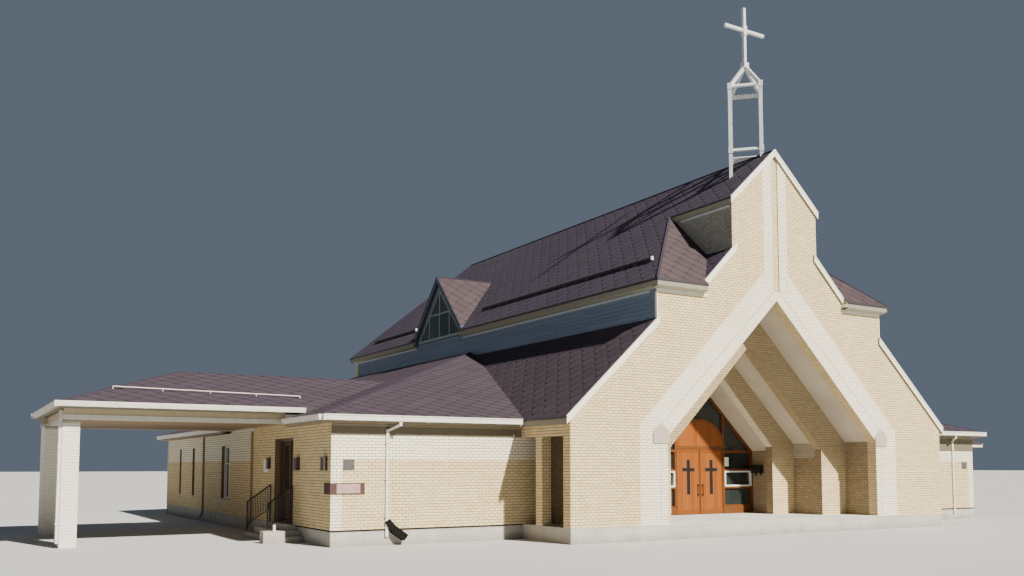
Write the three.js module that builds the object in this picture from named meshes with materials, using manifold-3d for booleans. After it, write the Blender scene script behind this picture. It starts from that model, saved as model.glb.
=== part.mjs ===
// Modern church building: brick gable front with a telescoping portal, hip-and-bay main roof,
// two low wings, a carport on the left and an open steel steeple with a cross.
// Units are millimetres, +Z up, X to the right of someone facing the front, Y into the building.
// The church is drawn with the facade's face at y = 0 and moved at the end so that the origin
// lies on the ground under the middle of the front doors.

import * as THREE from 'three';
import { mergeVertices } from 'three/addons/utils/BufferGeometryUtils.js';
import Module from 'manifold-3d';

const wasm = await Module();
wasm.setup();

// Driving dimensions

const GAP = 0.3;                     // joint left between touching pieces
const LEFT = -1;
const RIGHT = 1;

// Levels above the ground
const BASE_TOP = 430;
const FLOOR = 450;
const DOORWAY_TOP = 2950;
const SITE_LOW = 2500;               // any height below every roof, where roof envelopes start

// Plan
const FACADE_HALF = 7950;
const WALL_T = 340;                  // facade wall
const WING_WALL_T = 300;
const WING_FRONT_Y = 2500;
const REAR_Y = 23800;
const LEFT_WING_X = 13850;
const RIGHT_WING_X = 13600;
const CLERESTORY_X = 4850;
const CLERESTORY_T = 200;

// Main roof
const RIDGE_Z = 12250;
const ROOF_SLOPE = 0.933;
const ROOF_T = 200;                  // measured straight down
const EAVE_X = 5020;
const EAVE_FRONT_Y = -235;
const EAVE_REAR_Y = 24150;
const RIDGE_REAR_Y = 20500;
const RAKE_Y = -50;                  // how far the rakes stand before the facade
const BAY_EAVE_X = 1930;             // gable roof of the front bay
const BAY_WALL_X = 1860;
const BAY_CHEEK_T = 100;
const SHOULDER_X = 3060;             // second, smaller rake
const SHOULDER_SLOPE = 0.985;
const SHOULDER_TOP_Z = 8865;
const LEDGE_X = 4850;

// Lower roofs
const AISLE_TOP_Z = 6450;
const AISLE_SLOPE = 0.92;
const AISLE_EAVE_X = 8100;
const AISLE_BACK_Y = 11600;
const WING_SLOPE = 1 / 3;
const WING_EAVE_Z = 3480;
const WING_OVERHANG = 350;
const WING_EAVE_Y = 2200;
const WING_ROOF_END_Y = 24000;
const CLERESTORY_LOW_Z = 6000;
const WALL_RISE = 2450;             // wing walls are drawn this far below the aisle roof's top

// Portal profiles: half width, springing height and apex height of each inverted V
const FRONT_ARCH = { half: 4550, spring: 2950, apex: 7370 };
const RIB_2 = { half: 3350, spring: 2700, apex: 6020 };
const BAY_2 = { half: 3350, spring: 2900, apex: 6080 };
const RIB_3 = { half: 2310, spring: 2800, apex: 5180 };
const BAY_3 = { half: 2500, spring: 2650, apex: 5050 };
const RIB_2_Y = [1300, 1600];
const RIB_3_Y = [2560, 2860];
const PORTAL_END_Y = 3900;
const PORTAL_WALL_T = 300;
const CEILING_T = 290;
const BAND_APEX_Z = 8750;            // outer edge of the pale brick band
const BAND_SLOPE = 0.98;
const BAND_HALF = 5550;
const STRIP_HALF = 510;
const STRIP_LOW_Z = 7650;
const STRIP_GROOVE = { half: 140, depth: 30 };

// Front doors and entrance screen
const DOOR_Y = 3750;                 // middle of the door leaves; the origin lies below it
const LEAF_T = 50;
const LEAF_EDGE = 1047;
const LEAF_MIDDLE_GAP = 8;
const HINGE = { x: 1055, y: 3690, r: 9, height: 60, strap: 10, zs: [700, 1580, 2460] };
const LEAF_LOW = FLOOR + 6;
const LEAF_TOP = 2704;
const JAMB_HALF = 1055;
const POST_W = 80;
const TRANSOM_LOW = 2711;
const TRANSOM_TOP = 2811;
const ARCH_RISE = 880;
const SCREEN_Y = [3700, 3780];
const FRAME_W = 80;
const GLASS_T = 10;
const SIDELIGHT_ROWS = [[740, 1340], [1400, 1950], [2010, 2600]];
const CROSS_LIGHT = { x: 520, half: 75, low: 1140, top: 2340, arm: 280, armLow: 1935, armTop: 2055, depth: 8 };

// Side doorways and windows in both wing side walls
const SIDE_DOOR_Y = [5650, 7460];
const SIDE_DOOR_T = 50;
const WINDOW_Z = [970, 2850];
const WINDOW_YS = [[12850, 14000], [18350, 18750], [20850, 21200]];

// Corner recesses beside the facade
const RECESS_BEAM_LOW = 2950;
const RECESS_DEPTH = 950;
const RECESS_BACK_T = 200;
const PILASTER_Y = [1440, 1760];

// Dormers
const DORMER_Y = 14360;
const DORMER_HALF = 2150;
const DORMER_LOW_Z = 7400;
const DORMER_SIDE_Z = 7780;          // top of its short upright sides
const DORMER_TOP_Z = 10100;
const DORMER_T = 180;
const DORMER_SEAT = 110;
const DORMER_OVERHANG = 100;
const DORMER_BACK_X = 2200;
const DORMER_RING_LAP = 40;
const DORMER_WINDOW = { half: 1940, low: 7500, top: 9590 };
const DORMER_BAR = 60;
const DORMER_MULLIONS = [-903, 0, 967];
const DORMER_BAR_Z = 8508;

// Carport
const CARPORT_EAVE_X = -20100;
const CARPORT_EAVE_Y = [5400, 12700];
const CARPORT_EAVE_Z = 3820;
const CARPORT_BEAM_INSET = 350;
const CARPORT_BEAM_W = 200;
const CARPORT_BEAM_LOW = 3350;
const CARPORT_CEILING_Z = [3400, 3440];
const PIER_X = [-19970, -19560];
const PIER_FRONT_Y = [5900, 7050];
const PIER_REAR_Y = [11050, 12200];
const PIER_ROUND = 100;

// Side steps and railings
const STEP_RISE = 150;
const STEP_GOING = 300;
const LANDING_EDGE = 250;
const STEPS_Y = [5300, 7600];
const SIDE_FLIGHT_X = 550;
const SIDE_FLIGHT_GOING = 350;
const KERB_BLOCK = { x: [-15000, -14390], y: [4600, 4950], top: 330 };
const RAILING_YS = [5400, 7520];
const RAILING_X = [-13950, -14660];
const RAILING_TOP = [1560, 1060];
const RAILING_LOW = [840, 380];
const RAILING_POST = 36;
const RAILING_BAR = 18;
const RAILING_BARS = 6;

// Gutters
const GUTTER = { width: 120, height: 140, wall: 12, drop: 10 };
const SPOUT_W = 80;
const SPOUT_D = 60;

// Steeple
const STEEPLE_Y = 1200;
const STEEPLE_R = 700;
const STEEPLE_TUBE = 110;
const STEEPLE_FOOT_Z = 11400;
const STEEPLE_RING_Z = [12480, 14650];
const STEEPLE_RING_BAR = 150;
const STEEPLE_APEX_Z = 15500;
const CROSS_BAR = 100;
const CROSS_TOP_Z = 17500;
const CROSS_ARM_Z = 16720;
const CROSS_ARM_HALF = 880;

// Stones set in the walls
const LABEL_STONE = { x: [4500, 5080], low: 2780, shoulder: 3120, top: 3370, proud: 40 };
const DATE_STONE = { x: [-13900, -12910], z: [1380, 1680], proud: 30, returnY: 2940 };
const SLATE_PLAQUE = { x: [-13520, -13210], z: [2020, 2310], proud: 20 };
const WALL_LIGHT = { ys: [2760, 5040], length: 260, z: [2030, 2340], proud: 110 };

// Small canopy on the right side
const CANOPY = { y: [2900, 8200], reach: 1300, low: 2900, edge: 3060, top: 3340 };

// Solids

function solidOf(geometry) {
  const bare = geometry.clone();
  bare.deleteAttribute('normal');
  bare.deleteAttribute('uv');
  const merged = mergeVertices(bare, 1e-3);
  return new wasm.Manifold(new wasm.Mesh({
    numProp: 3,
    vertProperties: new Float32Array(merged.attributes.position.array),
    triVerts: new Uint32Array(merged.index.array),
  }));
}

function geometryOf(solid) {
  const mesh = solid.getMesh();
  const geometry = new THREE.BufferGeometry();
  geometry.setAttribute('position', new THREE.BufferAttribute(mesh.vertProperties, 3));
  geometry.setIndex(new THREE.BufferAttribute(mesh.triVerts, 1));
  return geometry;
}

const join = (first, ...others) => others.reduce((whole, piece) => whole.add(piece), first);
const cut = (first, ...others) => others.reduce((whole, piece) => whole.subtract(piece), first);

function box([x0, x1], [y0, y1], [z0, z1]) {
  const geometry = new THREE.BoxGeometry(Math.abs(x1 - x0), Math.abs(y1 - y0), Math.abs(z1 - z0));
  geometry.translate((x0 + x1) / 2, (y0 + y1) / 2, (z0 + z1) / 2);
  return solidOf(geometry);
}

function extruded(outline, length) {
  const shape = outline instanceof THREE.Shape
    ? outline
    : new THREE.Shape(outline.map(([a, b]) => new THREE.Vector2(a, b)));
  return new THREE.ExtrudeGeometry(shape, { depth: length, bevelEnabled: false, curveSegments: 12 });
}

// Outline drawn in X and Z, extruded from y0 to y1
function alongY(outline, [y0, y1]) {
  const geometry = extruded(outline, y1 - y0);
  geometry.rotateX(Math.PI / 2);
  geometry.translate(0, y1, 0);
  return solidOf(geometry);
}

// Outline drawn in Y and Z, extruded between two X values given in either order
function alongX(outline, [xa, xb]) {
  const geometry = extruded(outline, Math.abs(xb - xa));
  geometry.applyMatrix4(new THREE.Matrix4().makeBasis(
    new THREE.Vector3(0, 1, 0), new THREE.Vector3(0, 0, 1), new THREE.Vector3(1, 0, 0)));
  geometry.translate(Math.min(xa, xb), 0, 0);
  return solidOf(geometry);
}

// Straight bar of rectangular section between two points, turned about its own length
function bar(from, to, width, depth, turn = 0) {
  const start = new THREE.Vector3(...from);
  const end = new THREE.Vector3(...to);
  const geometry = new THREE.BoxGeometry(width, depth, start.distanceTo(end));
  geometry.rotateZ(turn);
  const direction = end.clone().sub(start).normalize();
  geometry.applyQuaternion(new THREE.Quaternion().setFromUnitVectors(new THREE.Vector3(0, 0, 1), direction));
  const middle = start.add(end).multiplyScalar(0.5);
  geometry.translate(middle.x, middle.y, middle.z);
  return solidOf(geometry);
}

function post([x, y], radius, [z0, z1]) {
  const geometry = new THREE.CylinderGeometry(radius, radius, z1 - z0, 12);
  geometry.rotateX(Math.PI / 2);
  geometry.translate(x, y, (z0 + z1) / 2);
  return solidOf(geometry);
}

const mirrored = (outline, side) => outline.map(([x, z]) => [side * x, z]);
const sideRange = (side, near, far) => [side * near, side * far];

// Scene

const church = new THREE.Group();
church.position.set(0, -DOOR_Y, 0);

const FINISHES = {
  tanBrick: [0xcdb78f, 0.9, 0],
  paleBrick: [0xe6dfcb, 0.88, 0],
  stucco: [0xb9ad9b, 0.95, 0],
  concrete: [0xa39f98, 0.92, 0],
  paving: [0xb9b2a6, 0.9, 0],
  shingles: [0x6b5659, 0.85, 0],
  siding: [0x7d8a92, 0.7, 0],
  timber: [0xb0713a, 0.55, 0],
  darkFrame: [0x4a4d4c, 0.5, 0.2],
  glass: [0x27302f, 0.1, 0],
  trim: [0xe9e4d6, 0.5, 0],
  soffit: [0xa08a68, 0.8, 0],
  blackMetal: [0x1d1b1a, 0.5, 0.6],
  galvanised: [0xcdd2d6, 0.4, 0.5],
  limestone: [0xcbb3a1, 0.9, 0],
  redStone: [0x6a3d36, 0.7, 0],
  slate: [0x5b5d5e, 0.7, 0],
  lampMetal: [0x2a2622, 0.5, 0.4],
  brownDoor: [0x5d4029, 0.6, 0],
};

function add(name, finish, solid, parent = church) {
  const [color, roughness, metalness] = FINISHES[finish];
  const mesh = new THREE.Mesh(geometryOf(solid), new THREE.MeshStandardMaterial({ color, roughness, metalness }));
  mesh.name = name;
  parent.add(mesh);
}

const sideName = (side) => (side === LEFT ? 'left' : 'right');
const wingX = (side) => (side === LEFT ? LEFT_WING_X : RIGHT_WING_X);
const wingEaveX = (side) => wingX(side) + WING_OVERHANG;

// Roof surfaces, as heights of the top face
const mainRoofZ = (x) => RIDGE_Z - ROOF_SLOPE * Math.abs(x);
const frontHipZ = (y) => mainRoofZ(EAVE_X) + ROOF_SLOPE * (y - EAVE_FRONT_Y);
const rearHipSlope = (RIDGE_Z - mainRoofZ(EAVE_X)) / (EAVE_REAR_Y - RIDGE_REAR_Y);
const rearHipZ = (y) => mainRoofZ(EAVE_X) + rearHipSlope * (EAVE_REAR_Y - y);
const shoulderZ = (x) => SHOULDER_TOP_Z - SHOULDER_SLOPE * (Math.abs(x) - BAY_WALL_X);
const aisleZ = (x) => AISLE_TOP_Z - AISLE_SLOPE * (Math.abs(x) - CLERESTORY_X);
const wingSideZ = (side, x) => WING_EAVE_Z + WING_SLOPE * (wingEaveX(side) - Math.abs(x));
const wingFrontZ = (y) => WING_EAVE_Z + WING_SLOPE * (y - WING_EAVE_Y);

// Concrete bases and portal floor

function buildBases() {
  const wingY = [WING_FRONT_Y, REAR_Y];
  add('nave_base', 'concrete', box([-FACADE_HALF, FACADE_HALF], [0, REAR_Y], [0, BASE_TOP]));
  for (const side of [LEFT, RIGHT]) {
    const range = sideRange(side, FACADE_HALF + GAP, wingX(side));
    add(`${sideName(side)}_wing_base`, 'concrete', box(range, wingY, [0, BASE_TOP]));
  }
  const steps = [
    [FRONT_ARCH.half, 0, RIB_2_Y[0]],
    [RIB_2.half, RIB_2_Y[0] - 1, RIB_3_Y[0]],
    [RIB_3.half, RIB_3_Y[0] - 1, PORTAL_END_Y],
    [BAY_3.half, RIB_3_Y[1] + GAP, PORTAL_END_Y],
  ];
  const slabs = steps.map(([half, startY, endY]) => (
    box([-half + GAP, half - GAP], [startY, endY - GAP], [BASE_TOP + GAP, FLOOR])
  ));
  add('portal_floor', 'paving', join(...slabs));
}

// Facade: tan walls, pale bands round the portal, centre strip and label stones

const archZ = (arch, x) => arch.apex - ((arch.apex - arch.spring) / arch.half) * Math.abs(x);
const bandZ = (x) => BAND_APEX_Z - BAND_SLOPE * Math.abs(x);

function facadeWall(side) {
  const low = BASE_TOP + GAP;
  const roofGap = ROOF_T + 2 * GAP;
  const ledgeZ = frontHipZ(0) - roofGap;
  const ledgeCornerX = (RIDGE_Z - frontHipZ(0)) / ROOF_SLOPE;
  const outline = [
    [FACADE_HALF, low],
    [BAND_HALF + GAP, low],
    [BAND_HALF + GAP, bandZ(BAND_HALF) + 2 * GAP],
    [STRIP_HALF + GAP, bandZ(STRIP_HALF) + 2 * GAP],
    [STRIP_HALF + GAP, mainRoofZ(STRIP_HALF) - roofGap],
    [BAY_WALL_X, mainRoofZ(BAY_WALL_X) - roofGap],
    [BAY_WALL_X, shoulderZ(BAY_WALL_X) - roofGap],
    [SHOULDER_X, shoulderZ(SHOULDER_X) - roofGap],
    [SHOULDER_X, ledgeZ],
    [ledgeCornerX, ledgeZ],
    [LEDGE_X, mainRoofZ(LEDGE_X) - roofGap],
    [LEDGE_X, AISLE_TOP_Z - roofGap],
    [FACADE_HALF, aisleZ(FACADE_HALF) - roofGap],
  ];
  return alongY(mirrored(outline, side), [0, WALL_T]);
}

function portalBand(side) {
  const middle = GAP / 2;
  const outline = [
    [BAND_HALF, BASE_TOP + GAP],
    [FRONT_ARCH.half, BASE_TOP + GAP],
    [FRONT_ARCH.half, FRONT_ARCH.spring],
    [middle, archZ(FRONT_ARCH, middle)],
    [middle, STRIP_LOW_Z - GAP],
    [STRIP_HALF + GAP, STRIP_LOW_Z - GAP],
    [STRIP_HALF + GAP, bandZ(STRIP_HALF + GAP)],
    [BAND_HALF, bandZ(BAND_HALF)],
  ];
  return alongY(mirrored(outline, side), [0, WALL_T]);
}

function centreStrip() {
  const topGap = ROOF_T + 2 * GAP;
  const strip = alongY([
    [-STRIP_HALF, STRIP_LOW_Z],
    [STRIP_HALF, STRIP_LOW_Z],
    [STRIP_HALF, mainRoofZ(STRIP_HALF) - topGap],
    [0, RIDGE_Z - topGap],
    [-STRIP_HALF, mainRoofZ(STRIP_HALF) - topGap],
  ], [0, WALL_T]);
  const grooveX = [-STRIP_GROOVE.half, STRIP_GROOVE.half];
  return cut(strip, box(grooveX, [-1, STRIP_GROOVE.depth], [STRIP_LOW_Z - 1, RIDGE_Z]));
}

function labelStone(side) {
  const [inner, outer] = LABEL_STONE.x;
  const outline = [
    [inner, LABEL_STONE.low],
    [outer, LABEL_STONE.low],
    [outer, LABEL_STONE.shoulder],
    [(inner + outer) / 2, LABEL_STONE.top],
    [inner, LABEL_STONE.shoulder],
  ];
  return alongY(mirrored(outline, side), [-LABEL_STONE.proud, -GAP]);
}

function buildFacade() {
  for (const side of [LEFT, RIGHT]) {
    add(`facade_wall_${sideName(side)}`, 'tanBrick', facadeWall(side));
    add(`portal_band_${sideName(side)}`, 'paleBrick', portalBand(side));
    add(`label_stone_${sideName(side)}`, 'limestone', labelStone(side));
  }
  add('gable_centre_strip', 'paleBrick', centreStrip());
}

// Portal: stepped brick walls with their ribs, and the sloped ceilings between them

function ribHalf(side, inner, outerHalf, outerArch, range) {
  const low = BASE_TOP + GAP;
  const middle = GAP / 2;
  const outline = [
    [outerHalf, low],
    [inner.half, low],
    [inner.half, inner.spring],
    [middle, archZ(inner, middle)],
    [middle, outerArch.apex + CEILING_T],
    [outerHalf, outerArch.spring],
  ];
  return alongY(mirrored(outline, side), range);
}

function portalWall(side) {
  const low = BASE_TOP + GAP;
  const frontOuter = FRONT_ARCH.half + PORTAL_WALL_T;
  const middleOuter = BAY_2.half + PORTAL_WALL_T;
  const rearOuter = BAY_3.half + PORTAL_WALL_T;
  const wallOf = (arch, outer, y0, y1) => box(sideRange(side, arch.half, outer), [y0, y1], [low, arch.spring]);
  return join(
    wallOf(FRONT_ARCH, frontOuter, WALL_T + GAP, RIB_2_Y[0]),
    ribHalf(side, RIB_2, frontOuter, FRONT_ARCH, RIB_2_Y),
    wallOf(BAY_2, middleOuter, RIB_2_Y[1], RIB_3_Y[0]),
    ribHalf(side, RIB_3, middleOuter, BAY_2, RIB_3_Y),
    wallOf(BAY_3, rearOuter, RIB_3_Y[1], PORTAL_END_Y),
  );
}

function ceiling(arch, [y0, y1]) {
  const outer = arch.half + PORTAL_WALL_T;
  const seat = arch.spring + GAP;
  const halfOutline = [[outer, seat], [arch.half, seat]];
  const edge = arch.spring + CEILING_T / 2;
  return alongY([
    ...mirrored(halfOutline, LEFT),
    [0, arch.apex],
    ...mirrored(halfOutline, RIGHT).reverse(),
    [outer, edge],
    [0, arch.apex + CEILING_T],
    [-outer, edge],
  ], [y0 + GAP, y1 - GAP]);
}

function buildPortal() {
  for (const side of [LEFT, RIGHT]) {
    add(`portal_walls_${sideName(side)}`, 'tanBrick', portalWall(side));
  }
  add('portal_ceiling_front', 'stucco', ceiling(FRONT_ARCH, [WALL_T, RIB_2_Y[0]]));
  add('portal_ceiling_middle', 'stucco', ceiling(BAY_2, [RIB_2_Y[1], RIB_3_Y[0]]));
  add('portal_ceiling_rear', 'stucco', ceiling(BAY_3, [RIB_3_Y[1], PORTAL_END_Y]));
}

// Entrance screen: frame with sidelights, rounded timber panel, glass behind, two leaves

function insetArch(arch, inset) {
  return { half: arch.half - inset, spring: arch.spring, apex: arch.apex - inset * 1.4 };
}

function archOutline(arch, low) {
  return [[-arch.half, low], [arch.half, low], [arch.half, arch.spring], [0, arch.apex], [-arch.half, arch.spring]];
}

function roundedPanel(half, low, rise) {
  const shape = new THREE.Shape();
  shape.moveTo(-half, low);
  shape.lineTo(half, low);
  shape.absellipse(0, low, half, rise, 0, Math.PI, false, 0);
  return shape;
}

function sidelightPanes(side) {
  const inner = JAMB_HALF + POST_W;
  const outer = BAY_3.half - FRAME_W;
  const through = [SCREEN_Y[0] - 1, SCREEN_Y[1] + 1];
  const rows = SIDELIGHT_ROWS.map((row) => box(sideRange(side, inner, outer), through, row));
  const glazed = insetArch(BAY_3, FRAME_W);
  const upper = [
    [inner, SIDELIGHT_ROWS[2][1] + FRAME_W],
    [outer - FRAME_W, SIDELIGHT_ROWS[2][1] + FRAME_W],
    [inner, archZ(glazed, inner)],
  ];
  return [...rows, alongY(mirrored(upper, side), through)];
}

function entranceFrame() {
  const through = [SCREEN_Y[0] - 1, SCREEN_Y[1] + 1];
  const whole = alongY(archOutline(insetArch(BAY_3, 2 * GAP), FLOOR + GAP), SCREEN_Y);
  const doorway = box([-JAMB_HALF, JAMB_HALF], through, [FLOOR, TRANSOM_LOW]);
  const rounded = alongY(roundedPanel(JAMB_HALF, TRANSOM_TOP, ARCH_RISE), through);
  const glazed = insetArch(BAY_3, FRAME_W);
  const ring = alongY(roundedPanel(JAMB_HALF + POST_W, TRANSOM_TOP, ARCH_RISE + POST_W), through);
  const top = cut(alongY([
    [-JAMB_HALF, TRANSOM_TOP],
    [JAMB_HALF, TRANSOM_TOP],
    [JAMB_HALF, archZ(glazed, JAMB_HALF)],
    [0, glazed.apex],
    [-JAMB_HALF, archZ(glazed, JAMB_HALF)],
  ], through), ring);
  const frame = cut(whole, doorway, rounded, top, ...sidelightPanes(LEFT), ...sidelightPanes(RIGHT));
  return join(frame, ...frameKnuckles(LEFT), ...frameKnuckles(RIGHT));
}

// Lower knuckle of each hinge, on a small block on the jamb's face
function frameKnuckles(side) {
  const { x, y, r, height, strap, zs } = HINGE;
  return zs.map((z) => join(
    post([side * x, y], r, [z, z + height]),
    box(sideRange(side, x, x + 3 * r), [y - strap / 2, SCREEN_Y[0] + 1], [z, z + height]),
  ));
}

// Upper knuckle of each hinge, on a strap that cranks back to the leaf's edge
function leafKnuckles(side) {
  const { x, y, r, height, strap, zs } = HINGE;
  const leafFront = DOOR_Y - LEAF_T / 2;
  return zs.map((z) => {
    const range = [z + height + GAP, z + 2 * height];
    return join(
      post([side * x, y], r, range),
      box(sideRange(side, LEAF_EDGE - strap, x), [y - strap / 2, y + strap / 2], range),
      box(sideRange(side, LEAF_EDGE - strap, LEAF_EDGE), [y - strap / 2, leafFront + 1], range),
    );
  });
}

function entranceGlass() {
  const range = [SCREEN_Y[1] + GAP, SCREEN_Y[1] + GAP + GLASS_T];
  const sheet = alongY(archOutline(insetArch(BAY_3, 2 * GAP), FLOOR + GAP), range);
  return cut(sheet, box([-JAMB_HALF, JAMB_HALF], [range[0] - 1, range[1] + 1], [FLOOR, TRANSOM_LOW]));
}

function doorLeaf(side) {
  const front = DOOR_Y - LEAF_T / 2;
  const leaf = box(sideRange(side, LEAF_MIDDLE_GAP, LEAF_EDGE), [front, front + LEAF_T], [LEAF_LOW, LEAF_TOP]);
  const recessY = [front - 1, front + CROSS_LIGHT.depth];
  const around = (half, z) => box([side * CROSS_LIGHT.x - half, side * CROSS_LIGHT.x + half], recessY, z);
  const panelled = cut(leaf,
    around(CROSS_LIGHT.half, [CROSS_LIGHT.low, CROSS_LIGHT.top]),
    around(CROSS_LIGHT.arm, [CROSS_LIGHT.armLow, CROSS_LIGHT.armTop]));
  return join(panelled, ...leafKnuckles(side));
}

function buildEntrance() {
  add('entrance_frame', 'darkFrame', entranceFrame());
  add('entrance_glass', 'glass', entranceGlass());
  const panel = roundedPanel(JAMB_HALF - 2 * GAP, TRANSOM_TOP + GAP, ARCH_RISE - 2 * GAP);
  add('arched_panel', 'timber', alongY(panel, SCREEN_Y));
  add('door_leaf_left', 'timber', doorLeaf(LEFT));
  add('door_leaf_right', 'timber', doorLeaf(RIGHT));
}

// Walls beside and behind the facade

function cornerRecess(side) {
  const low = BASE_TOP + GAP;
  const inner = FACADE_HALF - WING_WALL_T;
  const back = FACADE_HALF - RECESS_DEPTH;
  const backInner = back - RECESS_BACK_T;
  const between = [WALL_T + GAP, WING_FRONT_Y - GAP];
  const roofGap = ROOF_T + 2 * GAP;
  const beam = alongY(mirrored([
    [FACADE_HALF, RECESS_BEAM_LOW],
    [inner, RECESS_BEAM_LOW],
    [inner, aisleZ(inner) - roofGap],
    [FACADE_HALF, aisleZ(FACADE_HALF) - roofGap],
  ], side), between);
  const ceilingPlate = box(sideRange(side, inner + 1, backInner), between, [RECESS_BEAM_LOW, RECESS_BEAM_LOW + 100]);
  const pilaster = box(sideRange(side, FACADE_HALF, inner), PILASTER_Y, [low, RECESS_BEAM_LOW + 1]);
  const backWall = box(sideRange(side, back, backInner), between, [low, RECESS_BEAM_LOW + 1]);
  return join(beam, ceilingPlate, pilaster, backWall);
}

// Walls under the lower roofs are drawn too high and trimmed to the roof's underside
function trimmedToLowerRoof(side, wall) {
  const under = lowerEnvelope(side).translate([0, 0, -ROOF_T - 2 * GAP]);
  const reach = [[-LEFT_WING_X - 1, LEFT_WING_X + 1], [0, REAR_Y]];
  return wall.intersect(join(under, box(...reach, [0, SITE_LOW])));
}

function wingFrontWall(side) {
  const innerX = FACADE_HALF - RECESS_DEPTH - RECESS_BACK_T;
  const range = [WING_FRONT_Y, WING_FRONT_Y + WING_WALL_T];
  const wall = box(sideRange(side, innerX, wingX(side)), range, [BASE_TOP + GAP, AISLE_TOP_Z - WALL_RISE]);
  return trimmedToLowerRoof(side, wall);
}

function wingSideWall(side) {
  const outer = wingX(side);
  const inner = outer - WING_WALL_T;
  const range = [WING_FRONT_Y + WING_WALL_T + GAP, REAR_Y - WING_WALL_T - GAP];
  const wall = box(sideRange(side, inner, outer), range, [BASE_TOP + GAP, AISLE_TOP_Z - WALL_RISE]);
  const through = sideRange(side, inner - 1, outer + 1);
  const doorway = box(through, SIDE_DOOR_Y, [BASE_TOP, DOORWAY_TOP]);
  return cut(trimmedToLowerRoof(side, wall), doorway, ...WINDOW_YS.map((y) => box(through, y, WINDOW_Z)));
}

function sideDoor(side) {
  const inner = wingX(side) - WING_WALL_T;
  const [y0, y1] = SIDE_DOOR_Y;
  return box(sideRange(side, inner, inner + SIDE_DOOR_T), [y0 + GAP, y1 - GAP], [BASE_TOP + GAP, DOORWAY_TOP - GAP]);
}

function sideGlass(side) {
  const face = wingX(side) - WING_WALL_T - GAP;
  const margin = 50;
  const first = WINDOW_YS[0][0] - margin;
  const last = WINDOW_YS[WINDOW_YS.length - 1][1] + margin;
  return box(sideRange(side, face, face - GLASS_T), [first, last], [WINDOW_Z[0] - margin, WINDOW_Z[1] + margin]);
}

function clerestoryWall(side) {
  const topGap = ROOF_T + 2 * GAP;
  const outer = CLERESTORY_X - GAP;
  const inner = CLERESTORY_X - CLERESTORY_T;
  const wall = alongY(mirrored([
    [outer, CLERESTORY_LOW_Z],
    [inner, CLERESTORY_LOW_Z],
    [inner, mainRoofZ(inner) - topGap],
    [outer, mainRoofZ(outer) - topGap],
  ], side), [WALL_T + GAP, REAR_Y - WING_WALL_T - GAP]);
  const dormerY = [DORMER_Y - DORMER_HALF - 1, DORMER_Y + DORMER_HALF + 1];
  return cut(wall, box(sideRange(side, inner - 1, outer + 1), dormerY, [DORMER_LOW_Z - GAP, RIDGE_Z]));
}

function rearWall() {
  const low = BASE_TOP + GAP;
  const topGap = ROOF_T + 2 * GAP;
  const highZ = rearHipZ(REAR_Y) - topGap;
  const cornerX = (RIDGE_Z - rearHipZ(REAR_Y)) / ROOF_SLOPE;
  const half = (side) => [
    [cornerX, highZ],
    [CLERESTORY_X, mainRoofZ(CLERESTORY_X) - topGap],
    [CLERESTORY_X, wingSideZ(side, CLERESTORY_X) - topGap],
    [wingX(side), wingSideZ(side, wingX(side)) - topGap],
    [wingX(side), low],
  ];
  const outline = [...mirrored(half(LEFT), LEFT), ...mirrored(half(RIGHT), RIGHT).reverse()];
  return alongY(outline, [REAR_Y - WING_WALL_T, REAR_Y]);
}

function buildWalls() {
  for (const side of [LEFT, RIGHT]) {
    const name = sideName(side);
    add(`${name}_corner_recess`, 'tanBrick', cornerRecess(side));
    add(`${name}_wing_front_wall`, 'tanBrick', wingFrontWall(side));
    add(`${name}_wing_side_wall`, 'tanBrick', wingSideWall(side));
    add(`${name}_side_door`, 'brownDoor', sideDoor(side));
    add(`${name}_wing_glass`, 'glass', sideGlass(side));
    add(`clerestory_wall_${name}`, 'siding', clerestoryWall(side));
  }
  add('rear_wall', 'tanBrick', rearWall());
}

// Roofs. Each is the top layer of its envelope: the envelope less itself moved straight down.

const topLayer = (envelope, depth) => envelope.subtract(envelope.translate([0, 0, -depth]));

function mainEnvelope() {
  const eaveZ = mainRoofZ(EAVE_X);
  const section = alongY([
    [-EAVE_X, SITE_LOW], [EAVE_X, SITE_LOW], [EAVE_X, eaveZ], [0, RIDGE_Z], [-EAVE_X, eaveZ],
  ], [EAVE_FRONT_Y, EAVE_REAR_Y]);
  const ridgeFrontY = EAVE_FRONT_Y + (RIDGE_Z - eaveZ) / ROOF_SLOPE;
  const profile = alongX([
    [EAVE_FRONT_Y, SITE_LOW - 1],
    [EAVE_REAR_Y, SITE_LOW - 1],
    [EAVE_REAR_Y, eaveZ],
    [RIDGE_REAR_Y, RIDGE_Z],
    [ridgeFrontY, RIDGE_Z],
    [EAVE_FRONT_Y, eaveZ],
  ], [-EAVE_X - 1, EAVE_X + 1]);
  return section.intersect(profile);
}

function shoulderEnvelope(side) {
  const inner = BAY_WALL_X + GAP;
  return alongY(mirrored([
    [inner, SITE_LOW], [SHOULDER_X, SITE_LOW], [SHOULDER_X, shoulderZ(SHOULDER_X)], [inner, shoulderZ(inner)],
  ], side), [RAKE_Y, WING_FRONT_Y]);
}

const BAY_BACK_Y = 6000;

function bayEnvelope(half, lowZ) {
  return alongY([
    [-half, lowZ], [half, lowZ], [half, mainRoofZ(half)], [0, RIDGE_Z], [-half, mainRoofZ(half)],
  ], [RAKE_Y, BAY_BACK_Y]);
}

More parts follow.
